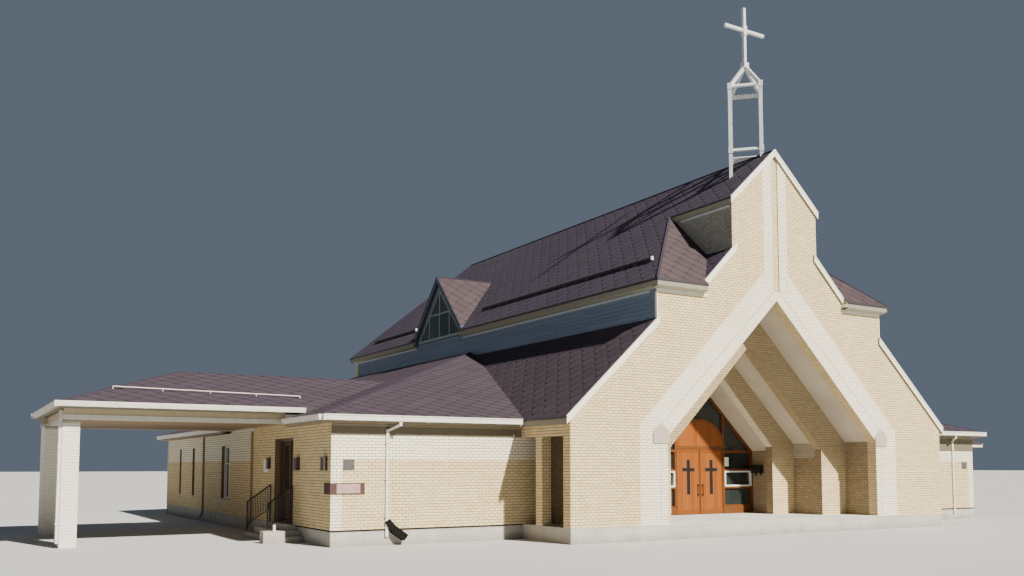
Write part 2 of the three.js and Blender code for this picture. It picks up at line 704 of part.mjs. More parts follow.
function bayCheek(side) {
  const topZ = mainRoofZ(BAY_WALL_X) - ROOF_T / 2;
  const frontY = WALL_T + GAP;
  const sunk = ROOF_T / 2;
  const backY = EAVE_FRONT_Y + (topZ + sunk - mainRoofZ(EAVE_X)) / ROOF_SLOPE;
  return alongX([
    [frontY, frontHipZ(frontY) - sunk], [backY, topZ], [frontY, topZ],
  ], sideRange(side, BAY_WALL_X - BAY_CHEEK_T, BAY_WALL_X));
}

const dormerOutline = (drop) => [
  [DORMER_Y - DORMER_HALF, DORMER_LOW_Z - drop],
  [DORMER_Y + DORMER_HALF, DORMER_LOW_Z - drop],
  [DORMER_Y + DORMER_HALF, DORMER_SIDE_Z - drop],
  [DORMER_Y, DORMER_TOP_Z - drop],
  [DORMER_Y - DORMER_HALF, DORMER_SIDE_Z - drop],
];

function eaveNotch(side) {
  const range = [DORMER_Y - DORMER_HALF - GAP, DORMER_Y + DORMER_HALF + GAP];
  return box(sideRange(side, CLERESTORY_X, EAVE_X + 1), range, [SITE_LOW - 1, RIDGE_Z]);
}

function mainRoof(side) {
  const behindFacade = box([-SHOULDER_X, SHOULDER_X], [EAVE_FRONT_Y - 1, WALL_T + GAP], [SITE_LOW - 1, RIDGE_Z]);
  const envelope = join(cut(mainEnvelope(), behindFacade), shoulderEnvelope(LEFT), shoulderEnvelope(RIGHT));
  const bayRoom = bayEnvelope(BAY_WALL_X - BAY_CHEEK_T, SITE_LOW).translate([0, 0, -ROOF_T]);
  const underBay = cut(topLayer(envelope, ROOF_T), bayRoom);
  const bayRoof = topLayer(bayEnvelope(BAY_EAVE_X, RIDGE_Z - ROOF_SLOPE * BAY_EAVE_X - ROOF_T), ROOF_T);
  const whole = join(underBay, bayRoof, bayCheek(LEFT), bayCheek(RIGHT));
  const half = box(sideRange(side, GAP / 2, EAVE_X + 1), [EAVE_FRONT_Y - 1, EAVE_REAR_Y + 1], [SITE_LOW, RIDGE_Z + 1]);
  const dormerHole = alongX(dormerOutline(DORMER_SEAT), sideRange(side, CLERESTORY_X, DORMER_BACK_X));
  return cut(whole.intersect(half), eaveNotch(side), dormerHole);
}

function lowerEnvelope(side) {
  const wallX = CLERESTORY_X + GAP;
  const eaveX = wingEaveX(side);
  const topZ = wingSideZ(side, wallX);
  const section = alongY(mirrored([
    [eaveX, SITE_LOW], [wallX, SITE_LOW], [wallX, topZ], [eaveX, WING_EAVE_Z],
  ], side), [WING_EAVE_Y, WING_ROOF_END_Y]);
  const hipEndY = WING_EAVE_Y + (topZ + 1 - WING_EAVE_Z) / WING_SLOPE;
  const profile = alongX([
    [WING_EAVE_Y, SITE_LOW - 1],
    [WING_ROOF_END_Y, SITE_LOW - 1],
    [WING_ROOF_END_Y, topZ + 1],
    [hipEndY, topZ + 1],
    [WING_EAVE_Y, WING_EAVE_Z],
  ], sideRange(side, wallX - 1, eaveX + 1));
  const aisle = alongY(mirrored([
    [AISLE_EAVE_X, SITE_LOW], [wallX, SITE_LOW], [wallX, aisleZ(wallX)], [AISLE_EAVE_X, aisleZ(AISLE_EAVE_X)],
  ], side), [RAKE_Y, AISLE_BACK_Y]);
  return join(section.intersect(profile), aisle);
}

function carportNotch() {
  return box([-wingEaveX(LEFT) - 1, -LEFT_WING_X], CARPORT_EAVE_Y, [SITE_LOW - 1, RIDGE_Z]);
}

function dormer(side) {
  const outerX = CLERESTORY_X + DORMER_OVERHANG;
  const envelope = alongX(dormerOutline(0), sideRange(side, outerX, DORMER_BACK_X));
  const mainSolid = cut(mainEnvelope().translate([0, 0, 2 * GAP]), eaveNotch(side));
  const shell = cut(topLayer(envelope, DORMER_T), mainSolid);
  const ringX = sideRange(side, CLERESTORY_X - DORMER_OVERHANG, CLERESTORY_X);
  const inside = alongX(dormerOutline(DORMER_T - DORMER_RING_LAP), ringX);
  const aboveSill = box(ringX, [DORMER_Y - DORMER_HALF, DORMER_Y + DORMER_HALF], [DORMER_LOW_Z, DORMER_TOP_Z]);
  const ring = cut(inside.intersect(aboveSill), alongX(dormerWindowOutline(0), sideRange(side, DORMER_BACK_X, outerX)));
  return join(shell, ring);
}

function dormerWindowOutline(inset) {
  const { half, low, top } = DORMER_WINDOW;
  return [
    [DORMER_Y - half + 2 * inset, low + inset],
    [DORMER_Y + half - 2 * inset, low + inset],
    [DORMER_Y, top - 2 * inset],
  ];
}

function dormerWindow(side) {
  const frameX = sideRange(side, CLERESTORY_X - 80, CLERESTORY_X - 20);
  const paneX = sideRange(side, CLERESTORY_X - 55, CLERESTORY_X - 45);
  const cutX = sideRange(side, CLERESTORY_X - 81, CLERESTORY_X - 19);
  const whole = alongX(dormerWindowOutline(GAP), frameX);
  const openings = alongX(dormerWindowOutline(DORMER_BAR), cutX);
  const { half, low, top } = DORMER_WINDOW;
  const posts = DORMER_MULLIONS.map((y) => box(frameX,
    [DORMER_Y + y - DORMER_BAR / 2, DORMER_Y + y + DORMER_BAR / 2], [low, top]));
  const rail = box(frameX, [DORMER_Y - half, DORMER_Y + half], [DORMER_BAR_Z, DORMER_BAR_Z + DORMER_BAR]);
  const bars = join(...posts, rail).intersect(alongX(dormerWindowOutline(DORMER_BAR / 2), frameX));
  const pane = alongX(dormerWindowOutline(DORMER_BAR / 3), paneX);
  return join(cut(whole, openings), bars, pane);
}

function buildRoofs() {
  for (const side of [LEFT, RIGHT]) {
    const name = sideName(side);
    add(`main_roof_${name}`, 'shingles', mainRoof(side));
    const lower = topLayer(lowerEnvelope(side), ROOF_T);
    add(`lower_roof_${name}`, 'shingles', side === LEFT ? cut(lower, carportNotch()) : lower);
    add(`dormer_${name}`, 'siding', dormer(side));
    add(`dormer_window_${name}`, 'darkFrame', dormerWindow(side));
  }
}

// Carport on the left side

function carportRoof() {
  const [frontY, backY] = CARPORT_EAVE_Y;
  const middleY = (frontY + backY) / 2;
  const ridgeZ = CARPORT_EAVE_Z + WING_SLOPE * (middleY - frontY);
  const endX = -wingEaveX(LEFT) + (ridgeZ - WING_EAVE_Z) / WING_SLOPE;
  const low = SITE_LOW;
  const section = alongX([
    [frontY, low], [backY, low], [backY, CARPORT_EAVE_Z], [middleY, ridgeZ], [frontY, CARPORT_EAVE_Z],
  ], [CARPORT_EAVE_X, endX]);
  const hipEndX = CARPORT_EAVE_X + (ridgeZ - CARPORT_EAVE_Z) / WING_SLOPE;
  const profile = alongY([
    [CARPORT_EAVE_X, low - 1],
    [endX, low - 1],
    [endX, ridgeZ + 1],
    [hipEndX, ridgeZ],
    [CARPORT_EAVE_X, CARPORT_EAVE_Z],
  ], [frontY - 1, backY + 1]);
  const wing = cut(lowerEnvelope(LEFT).translate([0, 0, 2 * GAP]), carportNotch());
  return cut(topLayer(section.intersect(profile), ROOF_T), wing);
}

function carportBeams() {
  const outerX = CARPORT_EAVE_X + CARPORT_BEAM_INSET;
  const [frontY, backY] = [CARPORT_EAVE_Y[0] + CARPORT_BEAM_INSET, CARPORT_EAVE_Y[1] - CARPORT_BEAM_INSET];
  const topZ = CARPORT_EAVE_Z + WING_SLOPE * CARPORT_BEAM_INSET - ROOF_T - 2 * GAP;
  const endX = -LEFT_WING_X - GAP;
  const whole = box([outerX, endX], [frontY, backY], [CARPORT_BEAM_LOW, topZ]);
  return cut(whole, box([outerX + CARPORT_BEAM_W, endX + 1], [frontY + CARPORT_BEAM_W, backY - CARPORT_BEAM_W],
    [CARPORT_BEAM_LOW - 1, topZ + 1]));
}

function carportCeiling() {
  const inset = CARPORT_BEAM_INSET + CARPORT_BEAM_W + GAP;
  return box([CARPORT_EAVE_X + inset, -LEFT_WING_X - GAP],
    [CARPORT_EAVE_Y[0] + inset, CARPORT_EAVE_Y[1] - inset], CARPORT_CEILING_Z);
}

function pier([y0, y1]) {
  const top = CARPORT_BEAM_LOW - GAP;
  const r = PIER_ROUND;
  const shape = new THREE.Shape();
  shape.moveTo(y0, 0);
  shape.lineTo(y1, 0);
  shape.lineTo(y1, top - r);
  shape.absarc(y1 - r, top - r, r, 0, Math.PI / 2, false);
  shape.lineTo(y0 + r, top);
  shape.absarc(y0 + r, top - r, r, Math.PI / 2, Math.PI, false);
  return alongX(shape, PIER_X);
}

function buildCarport() {
  add('carport_roof', 'shingles', carportRoof());
  add('carport_beams', 'trim', carportBeams());
  add('carport_ceiling', 'soffit', carportCeiling());
  add('carport_pier_front', 'paleBrick', pier(PIER_FRONT_Y));
  add('carport_pier_rear', 'paleBrick', pier(PIER_REAR_Y));
}

// Steps to the left side door, with their railings and low kerb block

function entranceSteps() {
  const wallX = -LEFT_WING_X - GAP;
  const treads = [];
  for (let i = 0; i < 3; i += 1) {
    const top = FLOOR - i * STEP_RISE;
    const edge = wallX - LANDING_EDGE - i * STEP_GOING;
    treads.push(box([edge, wallX], STEPS_Y, [0, top]));
    if (i > 0) {
      treads.push(box([wallX - SIDE_FLIGHT_X, wallX], [STEPS_Y[0] - i * SIDE_FLIGHT_GOING, STEPS_Y[1]], [0, top]));
    }
  }
  return join(...treads, box(KERB_BLOCK.x, KERB_BLOCK.y, [0, KERB_BLOCK.top]));
}

function stepsRailing(y) {
  const [wallX, endX] = RAILING_X;
  const along = (t, [z0, z1]) => z0 + (z1 - z0) * t;
  const footOf = (x) => {
    const beyondLanding = -LEFT_WING_X - GAP - LANDING_EDGE - x;
    const step = Math.max(0, Math.ceil(beyondLanding / STEP_GOING));
    return FLOOR - STEP_RISE * step + GAP;
  };
  const upright = (x, topZ) => box([x - RAILING_POST / 2, x + RAILING_POST / 2],
    [y - RAILING_POST / 2, y + RAILING_POST / 2], [footOf(x), topZ]);
  const pieces = [
    upright(wallX, RAILING_TOP[0]),
    upright(endX, RAILING_TOP[1]),
    bar([wallX, y, RAILING_TOP[0]], [endX, y, RAILING_TOP[1]], RAILING_POST, RAILING_POST),
    bar([wallX, y, RAILING_LOW[0]], [endX, y, RAILING_LOW[1]], RAILING_BAR, RAILING_BAR),
  ];
  for (let i = 1; i <= RAILING_BARS; i += 1) {
    const t = i / (RAILING_BARS + 1);
    const x = wallX + (endX - wallX) * t;
    pieces.push(box([x - RAILING_BAR / 2, x + RAILING_BAR / 2], [y - RAILING_BAR / 2, y + RAILING_BAR / 2],
      [along(t, RAILING_LOW), along(t, RAILING_TOP)]));
  }
  return join(...pieces);
}

function buildSteps() {
  add('entrance_steps', 'concrete', entranceSteps());
  add('steps_railing_front', 'blackMetal', stepsRailing(RAILING_YS[0]));
  add('steps_railing_rear', 'blackMetal', stepsRailing(RAILING_YS[1]));
}

// Front gutters with their downspouts, stones, lights and the small canopy

function frontGutter(side, spoutX) {
  const { width, height, wall, drop } = GUTTER;
  const backY = WING_EAVE_Y - GAP;
  const frontY = backY - width;
  const topZ = WING_EAVE_Z - drop;
  const lowZ = topZ - height;
  const trough = alongX([
    [frontY, lowZ], [backY, lowZ], [backY, topZ], [backY - wall, topZ],
    [backY - wall, lowZ + wall], [frontY + wall, lowZ + wall], [frontY + wall, topZ], [frontY, topZ],
  ], sideRange(side, AISLE_EAVE_X + GUTTER.width, wingEaveX(side)));
  const wallY = WING_FRONT_Y - GAP - SPOUT_D / 2;
  const outletX = side * (spoutX - 2 * width);
  const pipeX = side * spoutX;
  const elbowZ = lowZ - 2 * width;
  return join(
    trough,
    bar([outletX, (frontY + backY) / 2, lowZ + wall / 2], [outletX, (frontY + backY) / 2, lowZ - width], SPOUT_W, SPOUT_D),
    bar([outletX, (frontY + backY) / 2, lowZ - width + SPOUT_D / 2], [pipeX, wallY, elbowZ], SPOUT_W, SPOUT_D),
    bar([pipeX, wallY, elbowZ + SPOUT_D / 2], [pipeX, wallY, FLOOR / 2], SPOUT_W, SPOUT_D),
  );
}

function dateStone() {
  const { x, z, proud, returnY } = DATE_STONE;
  const face = WING_FRONT_Y - GAP;
  const sideX = [-LEFT_WING_X - GAP - proud, -LEFT_WING_X - GAP];
  return join(
    box([sideX[0], x[1]], [face - proud, face], z),
    box(sideX, [face - proud, returnY], z),
  );
}

function wallLight(y) {
  const { length, z, proud } = WALL_LIGHT;
  return box([-LEFT_WING_X - GAP - proud, -LEFT_WING_X - GAP], [y, y + length], z);
}

function canopy() {
  const { y, reach, low, edge, top } = CANOPY;
  const wallX = RIGHT_WING_X + GAP;
  return alongY([[wallX, low], [wallX + reach, low], [wallX + reach, edge], [wallX, top]], y);
}

function buildSmallPieces() {
  add('left_wing_gutter', 'trim', frontGutter(LEFT, 12270));
  add('right_wing_gutter', 'trim', frontGutter(RIGHT, 12270));
  add('date_stone', 'redStone', dateStone());
  const { x, z, proud } = SLATE_PLAQUE;
  add('slate_plaque', 'slate', box(x, [WING_FRONT_Y - GAP - proud, WING_FRONT_Y - GAP], z));
  add('wall_light_front', 'lampMetal', wallLight(WALL_LIGHT.ys[0]));
  add('wall_light_rear', 'lampMetal', wallLight(WALL_LIGHT.ys[1]));
  add('right_canopy', 'trim', canopy());
}

// Steeple: four tubes on the corners of a square turned 45 degrees, two rings, four sloping bars

function steepleFrame() {
  const corners = [[1, 0], [0, 1], [-1, 0], [0, -1]].map(([dx, dy]) => [STEEPLE_R * dx, STEEPLE_Y + STEEPLE_R * dy]);
  const apex = [0, STEEPLE_Y, STEEPLE_APEX_Z];
  const pieces = [];
  corners.forEach(([x, y], i) => {
    const [nextX, nextY] = corners[(i + 1) % corners.length];
    pieces.push(bar([x, y, STEEPLE_FOOT_Z], [x, y, STEEPLE_RING_Z[1]], STEEPLE_TUBE, STEEPLE_TUBE, Math.PI / 4));
    for (const z of STEEPLE_RING_Z) {
      pieces.push(bar([x, y, z], [nextX, nextY, z], STEEPLE_RING_BAR, STEEPLE_TUBE / 2, Math.PI / 2));
    }
    pieces.push(bar([x, y, STEEPLE_RING_Z[1]], apex, STEEPLE_TUBE, STEEPLE_TUBE));
  });
  const cap = box([-CROSS_BAR, CROSS_BAR], [STEEPLE_Y - CROSS_BAR, STEEPLE_Y + CROSS_BAR],
    [STEEPLE_APEX_Z - CROSS_BAR, STEEPLE_APEX_Z + CROSS_BAR]);
  const roof = bayEnvelope(BAY_EAVE_X, SITE_LOW).translate([0, 0, 2 * GAP]);
  return cut(join(...pieces, cap), roof);
}

function steepleCross() {
  const half = CROSS_BAR / 2;
  const y = [STEEPLE_Y - half, STEEPLE_Y + half];
  return join(
    box([-half, half], y, [STEEPLE_APEX_Z + CROSS_BAR + GAP, CROSS_TOP_Z]),
    box([-CROSS_ARM_HALF, CROSS_ARM_HALF], y, [CROSS_ARM_Z - half, CROSS_ARM_Z + half]),
  );
}

function buildSteeple() {
  add('steeple_frame', 'galvanised', steepleFrame());
  add('steeple_cross', 'galvanised', steepleCross());
}

buildBases();
buildFacade();
buildPortal();
buildEntrance();
buildWalls();
buildRoofs();
buildCarport();
buildSteps();
buildSmallPieces();
buildSteeple();

export default church;
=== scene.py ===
# Modern church building: brickwork, shingles, boards, trim and finishes laid over the solid model.
# Sizes are in metres. Everything is drawn in the church's own plan, with the facade's face at y = 0,
# x to the right of someone facing it and z up from the ground. Meshes are moved at the end so that
# the origin lies under the front doors, as it does in the model.
import math

import bmesh
import bpy
from mathutils import Matrix, Vector


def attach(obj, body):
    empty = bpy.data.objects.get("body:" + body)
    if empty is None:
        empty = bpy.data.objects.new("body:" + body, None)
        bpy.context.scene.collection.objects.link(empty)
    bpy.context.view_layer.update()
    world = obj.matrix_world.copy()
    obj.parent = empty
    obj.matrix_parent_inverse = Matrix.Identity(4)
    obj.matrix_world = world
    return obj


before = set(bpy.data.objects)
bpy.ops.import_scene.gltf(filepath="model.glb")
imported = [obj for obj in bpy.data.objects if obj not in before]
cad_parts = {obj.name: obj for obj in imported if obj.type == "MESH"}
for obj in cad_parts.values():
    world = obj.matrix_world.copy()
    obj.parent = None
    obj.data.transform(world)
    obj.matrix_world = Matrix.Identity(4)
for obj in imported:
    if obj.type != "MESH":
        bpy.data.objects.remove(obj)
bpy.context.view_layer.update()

# Plan and levels shared with the model
SIDES = {"left": -1, "right": 1}
DOOR_Y = 3.75
TO_MODEL = Matrix.Translation((0, -DOOR_Y, 0))
BASE_TOP = 0.43
FACADE_HALF = 7.95
WALL_T = 0.34
LEDGE_X = 4.85
CLERESTORY_X = 4.85
REAR_Y = 23.8
RIDGE_Z = 12.25
RIDGE_REAR_Y = 20.5
ROOF_SLOPE = 0.933
EAVE_X = 5.02
EAVE_FRONT_Y = -0.235
EAVE_REAR_Y = 24.15
EAVE_Z = RIDGE_Z - ROOF_SLOPE * EAVE_X
RAKE_Y = -0.05
BAY_WALL_X = 1.86
BAY_EAVE_X = 1.93
BAY_EAVE_Z = RIDGE_Z - ROOF_SLOPE * BAY_EAVE_X
BAY_END_Y = EAVE_FRONT_Y + EAVE_X - BAY_EAVE_X
SHOULDER_X = 3.06
SHOULDER_SLOPE = 0.985
SHOULDER_TOP_Z = 8.865
AISLE_TOP_Z = 6.45
AISLE_SLOPE = 0.92
AISLE_EAVE_X = 8.1
WING_X = {"left": 13.85, "right": 13.6}
WING_EAVE_X = {"left": 14.2, "right": 13.95}
WING_FRONT_Y = 2.5
WING_EAVE_Y = 2.2
WING_EAVE_Z = 3.48
SOFFIT_Z = (3.262, 3.278)
CARPORT_EAVE_X = -20.1
CARPORT_EAVE_Y = (5.4, 12.7)
CARPORT_EAVE_Z = 3.82
LOW_ROOF_RUN = 3  # wings and carport rise one in three
DORMER_Y = 14.36
DORMER_HALF = 2.15
DORMER_LOW_Z = 7.4
DORMER_SIDE_Z = 7.78
DORMER_TOP_Z = 10.1
GLAZING_HALF = 1.94
GLAZING_Z = (7.5, 9.59)
DOOR_FACE_Y = 3.725
MIDDLE_BAY_Y = (1.6, 2.56)
SIDE_WINDOW_Y = ((12.85, 14.0), (18.35, 18.75), (20.85, 21.2))
DOWNPIPE_Y = (9.89, 16.69)
SPOUT_X = 12.27

# Brick, shingle and board sizes
COURSE = 0.0813
BRICK = 0.2
MORTAR = 0.0145
DIAMOND = 0.66
DIAMOND_ROW = 0.305
CLAPBOARD = 0.127
PALE_LINE_Z = 2.29
SIDE_PALE_Y = 9.9
PALE_CORNER = 0.3
PORTAL_LINE_Z = 2.4
GUTTER_WIDTH = 0.12
GUTTER_DEPTH = 0.14
GUTTER_SEAM = 0.75

# Materials

WHITE = (1.0, 1.0, 1.0)


def dimmed(shade, share):
    return tuple(part * share for part in shade)


class Finish:
    """A material under construction: short calls for the nodes that its colour and relief need."""

    def __init__(self, name):
        self.material = bpy.data.materials.new(name)
        self.material.use_nodes = True
        self.tree = self.material.node_tree
        self.tree.nodes.clear()
        self.shader = self.node("ShaderNodeBsdfPrincipled")
        self.node("ShaderNodeOutputMaterial", Surface=self.shader.outputs["BSDF"])
        self.place = self.node("ShaderNodeTexCoord").outputs["Object"]

    def put(self, socket, value):
        if isinstance(value, bpy.types.NodeSocket):
            self.tree.links.new(value, socket)
        else:
            socket.default_value = value

    def node(self, kind, **values):
        """A new node, with the named inputs linked or set."""
        made = self.tree.nodes.new(kind)
        for name, value in values.items():
            self.put(made.inputs[name], value)
        return made

    def stretched(self, scale):
        return self.node("ShaderNodeMapping", Vector=self.place, Scale=scale).outputs["Vector"]

    def noise(self, scale, detail=4.0, roughness=0.55, vector=None):
        return self.node("ShaderNodeTexNoise", Vector=vector or self.place, Scale=scale, Detail=detail,
                         Roughness=roughness).outputs["Fac"]

    def tint(self):
        """The shade drawn for each brick, shingle or board."""
        node = self.node("ShaderNodeAttribute")
        node.attribute_name = "tint"
        return node.outputs["Fac"]

    def ramp(self, value, *stops):
        node = self.node("ShaderNodeValToRGB", Fac=value)
        elements = node.color_ramp.elements
        while len(elements) < len(stops):
            elements.new(0.5)
        for element, (place, colour) in zip(elements, stops):
            element.position = place
            element.color = (*colour, 1)
        return node.outputs["Color"]

    def mix(self, share, first, second, blend="MIX"):
        node = self.node("ShaderNodeMix")
        node.data_type = "RGBA"
        node.blend_type = blend
        self.put(node.inputs["Factor"], share)
        for name, value in (("A", first), ("B", second)):
            self.put(node.inputs[name], value if isinstance(value, bpy.types.NodeSocket) else (*value, 1))
        return node.outputs["Result"]

    def times(self, first, second):
        return self.mix(1.0, first, second, "MULTIPLY")

    def math(self, operation, first, second):
        node = self.node("ShaderNodeMath")
        node.operation = operation
        self.put(node.inputs[0], first)
        self.put(node.inputs[1], second)
        return node.outputs["Value"]

    def uneven(self, noise, spread, least):
        return self.math("ADD", self.math("MULTIPLY", noise, spread), least)

    def height(self):
        return self.node("ShaderNodeSeparateXYZ", Vector=self.place).outputs["Z"]

    def facing_up(self):
        normal = self.node("ShaderNodeNewGeometry").outputs["Normal"]
        return self.node("ShaderNodeSeparateXYZ", Vector=normal).outputs["Z"]

    def relief(self, height, strength, distance):
        bump = self.node("ShaderNodeBump", Height=height, Strength=strength, Distance=distance)
        self.put(self.shader.inputs["Normal"], bump.outputs["Normal"])

    def done(self, colour, roughness, **constants):
        for name, value in {"Base Color": colour, "Roughness": roughness, **constants}.items():
            self.put(self.shader.inputs[name.replace("_", " ")], value)
        return self.material


def fired_brick(name, dark, middle, light, shade_by_height=None):
    """Face brick: each brick its own shade, a mottled fired skin and fine pits.
    The last argument, when given, is painted shade as (low, high, share): how far the brick darkens from one
    height to another."""
    f = Finish(name)
    body = f.ramp(f.tint(), (0.0, dark), (0.5, middle), (1.0, light))
    speckle = f.ramp(f.noise(90, 3), (0.35, (0.9, 0.89, 0.87)), (0.6, WHITE))
    weather = f.ramp(f.noise(0.45, 5), (0.3, (0.94, 0.93, 0.91)), (0.7, (1.02, 1.02, 1.02)))
    colour = f.times(f.times(body, speckle), weather)
    # Painted shade: the brick darkens from the low height to the high one.
    if shade_by_height:
        low, high, share = shade_by_height
        shade_rise = f.math("DIVIDE", f.math("SUBTRACT", f.height(), low), high - low)
        colour = f.times(colour, f.ramp(shade_rise, (0.0, WHITE), (1.0, dimmed(WHITE, share))))
    f.relief(f.noise(160, 4), 0.35, 0.002)
    return f.done(colour, f.uneven(f.noise(60), 0.15, 0.78))


def mortar(name, shade):
    """Mortar bed behind the bricks, and the plastered inside of the same walls."""
    f = Finish(name)
    sand = f.ramp(f.noise(220, 2), (0.3, dimmed(shade, 0.78)), (0.7, shade))
    stain = f.ramp(f.noise(0.8, 4), (0.3, (0.88, 0.87, 0.85)), (0.7, WHITE))
    f.relief(f.noise(260, 3), 0.5, 0.002)
    return f.done(f.times(sand, stain), 0.95)


def shingle_metal(name, shade):
    """Purple-brown diamond shingles: a shade for each, a faint embossed grain and dust."""
    f = Finish(name)
    body = f.ramp(f.tint(), (0.0, dimmed(shade, 0.93)), (0.5, shade), (1.0, dimmed(shade, 1.08)))
    fade = f.ramp(f.noise(0.35, 5), (0.3, (0.9, 0.9, 0.93)), (0.72, (1.08, 1.05, 1.03)))
    grain = f.noise(30, 3, 0.6, f.stretched((6, 6, 1.2)))
    colour = f.mix(f.math("MULTIPLY", grain, 0.12), f.times(body, fade), (0.12, 0.094, 0.103))
    f.relief(grain, 0.25, 0.003)
    return f.done(colour, f.uneven(f.noise(8), 0.2, 0.65), Specular_IOR_Level=0.08)


def roof_edge(name, low, high):
    """Roof deck: dark underlay where it faces up, painted boarding on its edges and underside."""
    f = Finish(name)
    painting = f.ramp(f.noise(3, 4, 0.6, f.stretched((1, 1, 14))), (0.3, low), (0.7, high))
    underlay = f.ramp(f.noise(12), (0.3, (0.012, 0.01, 0.012)), (0.7, (0.022, 0.017, 0.019)))
    f.relief(f.noise(40), 0.15, 0.002)
    return f.done(f.mix(f.math("GREATER_THAN", f.facing_up(), 0.2), painting, underlay), 0.75)


def painted(name, shade, roughness=0.5, wear=0.12, specular=0.5):
    """Painted board or sheet: slight streaks, dulled low spots and brushed unevenness."""
    f = Finish(name)
    streak = f.noise(5, 5, 0.6, f.stretched((1, 1, 0.25)))
    colour = f.ramp(streak, (0.25, dimmed(shade, 1 - wear)), (0.65, shade))
    f.relief(f.noise(70, 3), 0.12, 0.0015)
    return f.done(colour, f.uneven(f.noise(14), 0.2, roughness - 0.1), Specular_IOR_Level=specular)


def siding_boards(name, shade):
    """Clapboard: a slight shade for each board and a shallow printed wood grain."""
    f = Finish(name)
    body = f.ramp(f.tint(), (0.0, dimmed(shade, 0.9)), (1.0, dimmed(shade, 1.1)))
    grain = f.noise(14, 5, 0.65, f.stretched((1, 1, 22)))
    f.relief(grain, 0.2, 0.002)
    return f.done(f.times(body, f.ramp(grain, (0.3, dimmed(WHITE, 0.88)), (0.65, WHITE))), 0.62)


def varnished_timber(name, dark, middle, light):
    """Orange-brown varnished boards with long grain and darker latewood lines."""
    f = Finish(name)
    body = f.ramp(f.tint(), (0.0, dark), (0.5, middle), (1.0, light))
    grain = f.noise(20, 8, 0.7, f.stretched((9, 9, 0.5)))
    lines = f.ramp(grain, (0.35, (0.62, 0.55, 0.5)), (0.55, WHITE), (0.8, (1.1, 1.08, 1.05)))
    f.relief(grain, 0.15, 0.001)
    return f.done(f.times(body, lines), f.uneven(grain, 0.2, 0.32), Specular_IOR_Level=0.2)


def rendered_ceiling(name, dark, light):
    """Sloped portal ceilings in fine beige render with trowel clouds."""
    f = Finish(name)
    f.relief(f.noise(150, 5, 0.7), 0.4, 0.002)
    return f.done(f.ramp(f.noise(0.9, 6), (0.3, dark), (0.7, light)), 0.9)


def cast_concrete(name, dark, light):
    """Cast concrete with pour clouds, small voids and damp stain near the ground."""
    f = Finish(name)
    cloud = f.ramp(f.noise(1.6, 6, 0.65), (0.3, dark), (0.72, light))
    pores = f.ramp(f.noise(55, 4), (0.32, dimmed(WHITE, 0.7)), (0.5, WHITE))
    damp = f.ramp(f.math("MULTIPLY", f.height(), 4.0), (0.0, (0.72, 0.7, 0.66)), (1.0, WHITE))
    f.relief(f.noise(90, 6), 0.4, 0.003)
    return f.done(f.times(f.times(cloud, pores), damp), 0.92)


def cut_stone(name, dark, light, scale=9):
    """Sawn stone with soft veining and a fine honed grain."""
    f = Finish(name)
    vein = f.noise(scale, 7, 0.62, f.stretched((1, 1, 1.8)))
    f.relief(f.noise(140, 4), 0.3, 0.0015)
    return f.done(f.ramp(vein, (0.3, dark), (0.7, light)), 0.72)


def coated_metal(name, shade, roughness=0.4, metallic=0.0):
    """Coated or galvanised metal: faint spangle and rubbed patches."""
    f = Finish(name)
    spangle = f.ramp(f.noise(22, 3), (0.3, dimmed(shade, 0.82)), (0.7, shade))
    f.relief(f.noise(45, 2), 0.08, 0.001)
    return f.done(spangle, f.uneven(f.noise(30), 0.18, roughness - 0.08), Metallic=metallic)


def window_glass(name, dark, light):
    """Dark glazing in front of an unlit room, very slightly wavy."""
    f = Finish(name)
    f.relief(f.noise(1.2, 2), 0.05, 0.01)
    return f.done(f.ramp(f.noise(0.7, 3), (0.3, dark), (0.7, light)), 0.06, Specular_IOR_Level=0.6)


def studio_floor(name, dark, light):
    f = Finish(name)
    return f.done(f.ramp(f.noise(0.05, 2), (0.3, dark), (0.7, light)), 0.9)


